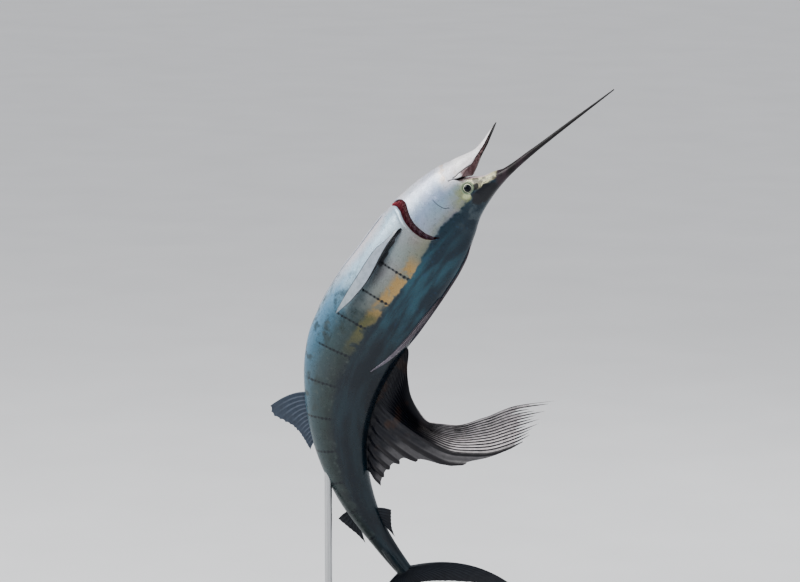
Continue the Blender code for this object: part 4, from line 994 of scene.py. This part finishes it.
breastFin = {
    "upper": (  # share of the length, distance back, height
        (0.0, 0.950, -0.126), (0.06, 0.972, -0.120), (0.16, 1.010, -0.116), (0.35, 1.090, -0.106),
        (0.60, 1.185, -0.099), (0.80, 1.268, -0.108), (1.0, 1.352, -0.133),
    ),
    "lower": (
        (0.0, 0.978, -0.106), (0.06, 0.990, -0.128), (0.16, 1.026, -0.139), (0.35, 1.088, -0.151),
        (0.60, 1.180, -0.147), (0.80, 1.262, -0.143), (1.0, 1.345, -0.137),
    ),
    "off": ((0.0, -0.010), (0.03, 0.006), (0.06, 0.013), (0.16, 0.019), (0.50, 0.026), (1.0, 0.036)),
    "foot": ((0.955, -0.119), (0.985, -0.138)),
    "make": dict(rays=12, rows=90, ridge=(0.0013, 0.0006)),
    "look": dict(ray=(0.46, 0.50, 0.56), web=(0.25, 0.30, 0.36), tip=(0.33, 0.38, 0.42), rough=0.34),
    "silver": (0.60, 0.64, 0.68), "black": (0.006, 0.008, 0.012), "edge": (0.03, 0.035, 0.045),
}


def makeBreastSilver():  # silver with dark lines along both edges, black at the upper root
    stuff, colour = finFinish("breastFinSilver", **breastFin["look"])
    chord, root = field("chord"), field("root")
    black = span(chord / span(root, 0.05, 0.60, 0.34, 0.08), 1.0, 0.82)
    toShader(Base_Color=layersOn(
        colour,
        (span(root, 0.20, 0.05, 0.0, 0.9), breastFin["silver"]),
        (black * span(root, 0.95, 0.60, 0.35, 1.0), breastFin["black"]),
        (span(chord, 0.93, 0.975, 0.0, 0.90), breastFin["edge"]),
        (span(chord, 0.10, 0.03, 0.0, 0.80) * span(root, 0.55, 0.75), breastFin["edge"]),
    ))
    return stuff


def breastThick(u, v):
    return 0.0009 + 0.005 * np.exp(-7.0 * v) + 0.0016 * (1.0 - u) ** 3 * (1.0 - v)


def breastMiddle(side):
    def middle(u, v):
        (s0, h0), (s1, h1) = breastFin["foot"]
        (upperS, upperH), (lowerS, lowerH) = columnsOf(breastFin["upper"], v), columnsOf(breastFin["lower"], v)
        blend = softStep(0.0, 0.10, v)
        s, h = s0 + (s1 - s0) * u, h0 + (h1 - h0) * u
        s = s + (upperS + (lowerS - upperS) * u - s) * blend
        h = h + (upperH + (lowerH - upperH) * u - h) * blend
        l = flankWidth(s, h, outline("back", s), outline("belly", s)) + easeCurve(breastFin["off"], v)
        return onFish(s, h, side * l)
    return middle


bellyFin = {
    "from": 0.962, "to": 1.420, "apart": 0.009, "sunk": 0.0016,
    "make": dict(rays=2, rows=90, ridge=(0.001, 0.0006)),
}


def bellyThick(u, v):
    return 0.0026 - 0.0016 * v + 0.0 * u


def bellyMiddle(side):
    def middle(u, v):
        start = bellyFin["from"] + 0.012 * u
        s = start + (bellyFin["to"] - start) * v
        apart = bellyFin["apart"] - 0.004 * v + (u - 0.5) * (0.010 - 0.008 * v)
        clear = np.minimum(v / 0.05, 1.0)
        h = outline("belly", s) - bellyFin["sunk"] - 0.0028 * clear + 0.0035 * (1.0 - clear)
        return onFish(s, h, side * apart)
    return middle


finletMake = dict(rows=40, ridge=(0.0014, 0.0006), ragged=0.05)
finlet = ((0.0, 0.052, 0.022), (0.3, 0.040, 0.030), (0.7, 0.022, 0.042), (1.0, 0.014, 0.060))
uprightFins = {  # shape: share of the base, height, sweep
    "secondDorsal": dict(
        node="second_dorsal_fin", base=(2.135, 2.215), upward=True, look="dark", slot="dark_fin",
        thick=0.006, shape=finlet, rays=7),
    "secondAnal": dict(
        node="second_anal_fin", base=(2.120, 2.200), upward=False, look="dark", slot="dark_fin",
        thick=0.006, shape=finlet, rays=7),
    "firstAnal": dict(
        node="first_anal_fin", base=(1.690, 1.850), upward=False, look="anal", slot="pale_fin",
        thick=0.007, rays=13, shape=(
            (0.0, 0.142, 0.105), (0.12, 0.138, 0.112), (0.28, 0.098, 0.088), (0.45, 0.064, 0.066),
            (0.70, 0.040, 0.048), (1.0, 0.024, 0.040))),
}


def uprightMiddle(fin):
    sign, side = (1.0, "back") if fin["upward"] else (-1.0, "belly")
    begin, end = fin["base"]

    def middle(u, v):
        s = begin + (end - begin) * u
        _, ahead, dorsal, _ = axes(s)
        height, sweep = columnsOf(fin["shape"], u)
        root = onFish(s, outline(side, s) - sign * 0.003, 0.0 * s)
        back = sweep * (0.35 * v + 0.65 * v * v)
        return root + dorsal * (sign * (height + 0.003) * v)[..., None] - ahead * back[..., None]
    return middle


def uprightThick(base):
    return lambda u, v: (base * (1.0 - v) + 0.0010 * v) * (1.15 - 0.3 * u)


for name, fin in uprightFins.items():
    rayVane(name, finStuff[fin["look"]], fin["slot"], fin["node"], uprightMiddle(fin),
            uprightThick(fin["thick"]), fin["rays"], **finletMake)

tail = {
    "end": 2.42, "rootHalf": 0.029, "bow": 0.045, "bend": 0.05,
    "make": dict(rays=17, rows=60, ridge=(0.0016, 0.0008), ragged=0.02),
    "edge": (  # share of the chord, distance back, height
        (0.0, 0.250, 0.365), (0.15, 0.213, 0.300), (0.30, 0.170, 0.222), (0.50, 0.121, 0.132),
        (0.70, 0.090, 0.066), (0.85, 0.077, 0.030), (1.0, 0.072, 0.0),
    ),
}


def tailMiddle(sign):
    point, ahead, dorsal, left = axes(tail["end"] - 0.002)

    def middle(u, v):
        back, high = columnsOf(tail["edge"], u)
        foot = tail["rootHalf"] * (1.0 - u)
        bow = tail["bow"] * (1.0 - u) ** 1.5
        curve, length = 4.0 * v * (1.0 - v), np.hypot(back, high - foot)
        along = np.maximum(back * v - curve * bow * (high - foot) / length, 0.0)
        up = foot + (high - foot) * v + curve * bow * back / length
        bend = tail["bend"] * (along / 0.25) ** 2
        return point - ahead * along[..., None] + dorsal * (sign * up)[..., None] + left * bend[..., None]
    return middle


def tailThick(u, v):
    root = 0.038 * np.sqrt(1.0 - 0.88 * (1.0 - u) ** 2)
    edge = 0.001 + 0.0032 * (1.0 - u) ** 6 * (1.0 - v)
    return edge + (root - edge) * np.exp(-v * (5.0 + 6.0 * u)) * (1.0 - v)


for name, node, sign in (("tailUpper", "tail_fin_upper", 1.0), ("tailLower", "tail_fin_lower", -1.0)):
    rayVane(name, finStuff["dark"], "dark_fin", node, tailMiddle(sign), tailThick, **tail["make"])

breastSilver = makeBreastSilver()
for side, word in ((1, "left"), (-1, "right")):
    rayVane("breast" + word.title(), breastSilver, "pale_fin", "breast_fin_" + word,
            breastMiddle(side), breastThick, **breastFin["make"])
    rayVane("belly" + word.title(), finStuff["pale"], "pale_fin", "belly_fin_" + word,
            bellyMiddle(side), bellyThick, **bellyFin["make"])
print("paired and tail fins built")


# sail: folded front rays as a ridge and a blade, then the streaming fan
sail = {
    "ridge": (0.835, 1.325), "ridgeMake": dict(rays=5, rows=200, ridge=(0.0014, 0.0014)),
    "ridgeHigh": ((0.0, 0.001), (0.12, 0.006), (0.6, 0.008), (0.85, 0.006), (1.0, 0.001)),
    "bladeRoot": (  # share of the length, distance back, degrees from the back
        (0.0, 1.085, 8.0), (0.25, 1.18, 17.0), (0.50, 1.28, 22.0), (0.75, 1.38, 30.0), (1.0, 1.482, 46.0),
    ),
    "bladeWide": ((0.0, 0.001), (0.25, 0.013), (0.6, 0.014), (0.85, 0.009), (1.0, 0.001)),
    "bladeLean": (0.62, 0.78), "bladeMake": dict(rays=4, rows=120, ridge=(0.0018, 0.0010)),
    "first": (  # step along X and Z from the foot of the first ray
        (0.0, 0.0, 0.0), (0.10, 0.004, -0.084), (0.20, 0.012, -0.159), (0.31, 0.046, -0.229),
        (0.42, 0.103, -0.275), (0.55, 0.197, -0.275), (0.70, 0.321, -0.235), (0.85, 0.451, -0.179),
        (1.0, 0.607, -0.146),
    ),
    "fan": (
        (0.0, 0.0, 0.0), (0.10, 0.042, -0.033), (0.20, 0.094, -0.068), (0.31, 0.147, -0.098),
        (0.42, 0.226, -0.135), (0.55, 0.332, -0.165), (0.70, 0.452, -0.158), (0.85, 0.572, -0.118),
        (1.0, 0.672, -0.058),
    ),
    "rear": ((0.0, 1.0), (0.15, 0.72), (0.30, 0.48), (0.50, 0.32), (0.75, 0.22), (1.0, 0.15)),  # lengths
    "base": (1.338, 1.620, 1.960), "fanShare": 0.68,  # feet of the first, the last fan and the last rear ray
    "cup": 0.030, "fanMake": dict(rays=19, rows=150, ridge=(0.0024, 0.0012), pleat=0.0036, ragged=0.20),
}


def ridgeMiddle(u, v):
    s = sail["ridge"][0] + (sail["ridge"][1] - sail["ridge"][0]) * v
    return onFish(s, outline("back", s) - 0.003 + (easeCurve(sail["ridgeHigh"], v) + 0.003) * u, 0.0 * s)


def bladeMiddle(u, v):
    s, degrees = columnsOf(sail["bladeRoot"], v)
    a = np.radians(degrees)
    h, l = slicePoint(outline("back", s), outline("belly", s), outline("half", s), a)
    c, d, (side, out) = np.cos(a), np.sin(a), sail["bladeLean"]
    wide = easeCurve(sail["bladeWide"], v) * u
    lift = 0.0032 * np.minimum(u * 3 + 0.1, 1.0)
    return onFish(s, h + lift * c + (side * d + out * c) * wide, l + lift * d + (out * d - side * c) * wide)


def sailMiddle(u, v):
    share = np.clip(u / sail["fanShare"], 0.0, 1.0)
    rest = np.clip((u - sail["fanShare"]) / (1.0 - sail["fanShare"]), 0.0, 1.0)
    first, middle, last = sail["base"]
    s = np.where(rest > 0, middle + (last - middle) * rest, first + (middle - first) * share)
    v = v * easeCurve(sail["rear"], rest)
    step = easeCurve(sail["first"], v) * (1 - share)[..., None] + easeCurve(sail["fan"], v) * share[..., None]
    foot = onFish(s, outline("back", s) - 0.002, 0.0 * s)
    cup = sail["cup"] * np.sin(np.pi * share) * np.sin(np.pi * v)
    y = foot[..., 1] * (1.0 - v) + cup - 0.02 * v
    flow = np.stack([foot[..., 0] + step[..., 0], y, foot[..., 2] + step[..., 1]], axis=-1)
    hold = (np.clip(1.0 - v / 0.10, 0.0, 1.0) ** 2)[..., None]
    stem = foot + axes(s)[2] * (0.55 * v)[..., None]
    return flow * (1 - hold) + stem * hold


def fanThick(u, v):
    return 0.0013 + 0.003 * np.clip(1.0 - v / 0.08, 0.0, 1.0) + 0.0 * u


for name, stuff, node, middle, thick, make in (
    ("sailRidge", "blade", "sail_ridge", ridgeMiddle, lambda u, v: 0.0044 - 0.0026 * u, sail["ridgeMake"]),
    ("sailBlade", "blade", "sail_blade", bladeMiddle, lambda u, v: 0.0014 + 0.0 * v, sail["bladeMake"]),
    ("sailFan", "sail", "sail_main", sailMiddle, fanThick, sail["fanMake"]),
):
    rayVane(name, finStuff[stuff], "sail_membrane", node, middle, thick, **make)
print("sail built")


# the stand keeps its CAD solids and gets paint and brushed steel
stand = {
    "paint": ((0.3, (0.045, 0.047, 0.050)), (0.7, (0.060, 0.062, 0.066))),
    "steel": ((0.3, (0.46, 0.47, 0.48)), (0.7, (0.60, 0.61, 0.62))),
    "brushed": (260.0, 260.0, 3.0),
}


def makeStandPaint():
    stuff = newFinish("satinStandPaint", Coat_Weight=0.15, Coat_Roughness=0.3)
    speck = grain(420.0, 2.0)
    toShader(Base_Color=rampOf(speck, stand["paint"]), Roughness=span(speck, 0.3, 0.7, 0.40, 0.52))
    raiseFrom(speck, 0.10, 0.0004)
    return stuff


def makeRodSteel():
    stuff = newFinish("brushedRodSteel", Metallic=1.0)
    stretched = addNode("ShaderNodeMapping", 0, {"Vector": placeOf(), "Scale": stand["brushed"]})
    lines = grain(1.0, 4.0, stretched)
    toShader(Base_Color=rampOf(lines, stand["steel"]), Roughness=span(lines, 0.3, 0.7, 0.24, 0.38))
    raiseFrom(lines, 0.08, 0.0003)
    return stuff


standPaint, rodSteel = makeStandPaint(), makeRodSteel()
for node, stuff in (("stand_base", standPaint), ("stand_rod", rodSteel), ("stand_collar", rodSteel)):
    for slot in bpy.data.objects[node].material_slots:
        slot.material = stuff
print("stand finished")


# floor, light and camera
studio = {
    "floorReach": 120.0, "floorTiles": 40, "floor": ((0.3, (0.72, 0.73, 0.74)), (0.7, (0.75, 0.76, 0.77))),
    "world": ((0.0, (0.80, 0.80, 0.80 * 1.02)), (1.0, (0.80 * 1.9, 0.80 * 1.9, 0.80 * 1.95))),
    "worldStrength": 0.55, "look": "AgX - Medium High Contrast",
    "lights": (  # name, place, aim, width, height, power, colour
        ("keyLight", (-4.6, -4.6, 5.8), (0.2, 0.0, 1.6), 5.0, 5.0, 560.0, (1.0, 0.985, 0.96)),
        ("fillLight", (5.0, -4.5, 2.6), (0.1, 0.0, 1.5), 4.0, 4.0, 40.0, (0.93, 0.96, 1.0)),
        ("backLight", (1.5, 4.5, 4.5), (0.0, 0.0, 1.5), 3.0, 3.0, 90.0, (1.0, 1.0, 1.0)),
    ),
    "azimuth": 25.0, "elevation": 10.0, "distance": 14.88, "lens": 180.0, "aim": (0.12, 0.0, 1.61),
    "sensor": 36.0, "farthest": 200.0,
}


def makeFloor():
    reach, tiles = studio["floorReach"], studio["floorTiles"]
    marks = [-reach + 2 * reach * i / tiles for i in range(tiles + 1)]
    mesh = bpy.data.meshes.new("studioFloor")
    mesh.from_pydata([(x, y, 0.0) for x in marks for y in marks], [], gridFaces(tiles + 1, tiles + 1))
    mesh.update()
    if mesh.polygons[0].normal.z < 0:
        mesh.flip_normals()
    floor = bpy.data.objects.new("studioFloor", mesh)
    bpy.context.scene.collection.objects.link(floor)
    mesh.materials.append(newFinish("paleFloor", Roughness=0.85))
    toShader(Base_Color=rampOf(grain(1.6, 2.0), studio["floor"]))
    raiseFrom(grain(300.0, 2.0), 0.05, 0.0005)


def pointAt(thing, place, target):
    thing.location = place
    look = Vector(target) - thing.location
    thing.rotation_euler = look.to_track_quat("-Z", "Y").to_euler()
    bpy.context.scene.collection.objects.link(thing)


def makeWorld():
    world = bpy.data.worlds.new("paleWorld")
    world.use_nodes = True
    bench["tree"], bench["shader"] = world.node_tree, world.node_tree.nodes["Background"]
    sky = addNode("ShaderNodeTexCoord", "Generated")
    height = addNode("ShaderNodeSeparateXYZ", "Z", {0: sky})
    toShader(Color=rampOf(height, studio["world"]), Strength=studio["worldStrength"])
    bpy.context.scene.world = world


def makeLights():
    for name, place, aim, width, height, power, colour in studio["lights"]:
        data = bpy.data.lights.new(name, "AREA")
        data.shape = "RECTANGLE"
        data.size, data.size_y, data.energy, data.color = width, height, power, colour
        pointAt(bpy.data.objects.new(name, data), place, aim)


def makeCamera():
    az, el = math.radians(studio["azimuth"]), math.radians(studio["elevation"])
    away = Vector((math.sin(az) * math.cos(el), -math.cos(az) * math.cos(el), math.sin(el)))
    data = bpy.data.cameras.new("photoCamera")
    data.lens, data.sensor_width, data.clip_end = studio["lens"], studio["sensor"], studio["farthest"]
    camera = bpy.data.objects.new("photoCamera", data)
    pointAt(camera, Vector(studio["aim"]) + away * studio["distance"], studio["aim"])
    bpy.context.scene.camera = camera


makeFloor()
makeWorld()
makeLights()
makeCamera()
bpy.context.scene.view_settings.look = studio["look"]
print("studio ready")
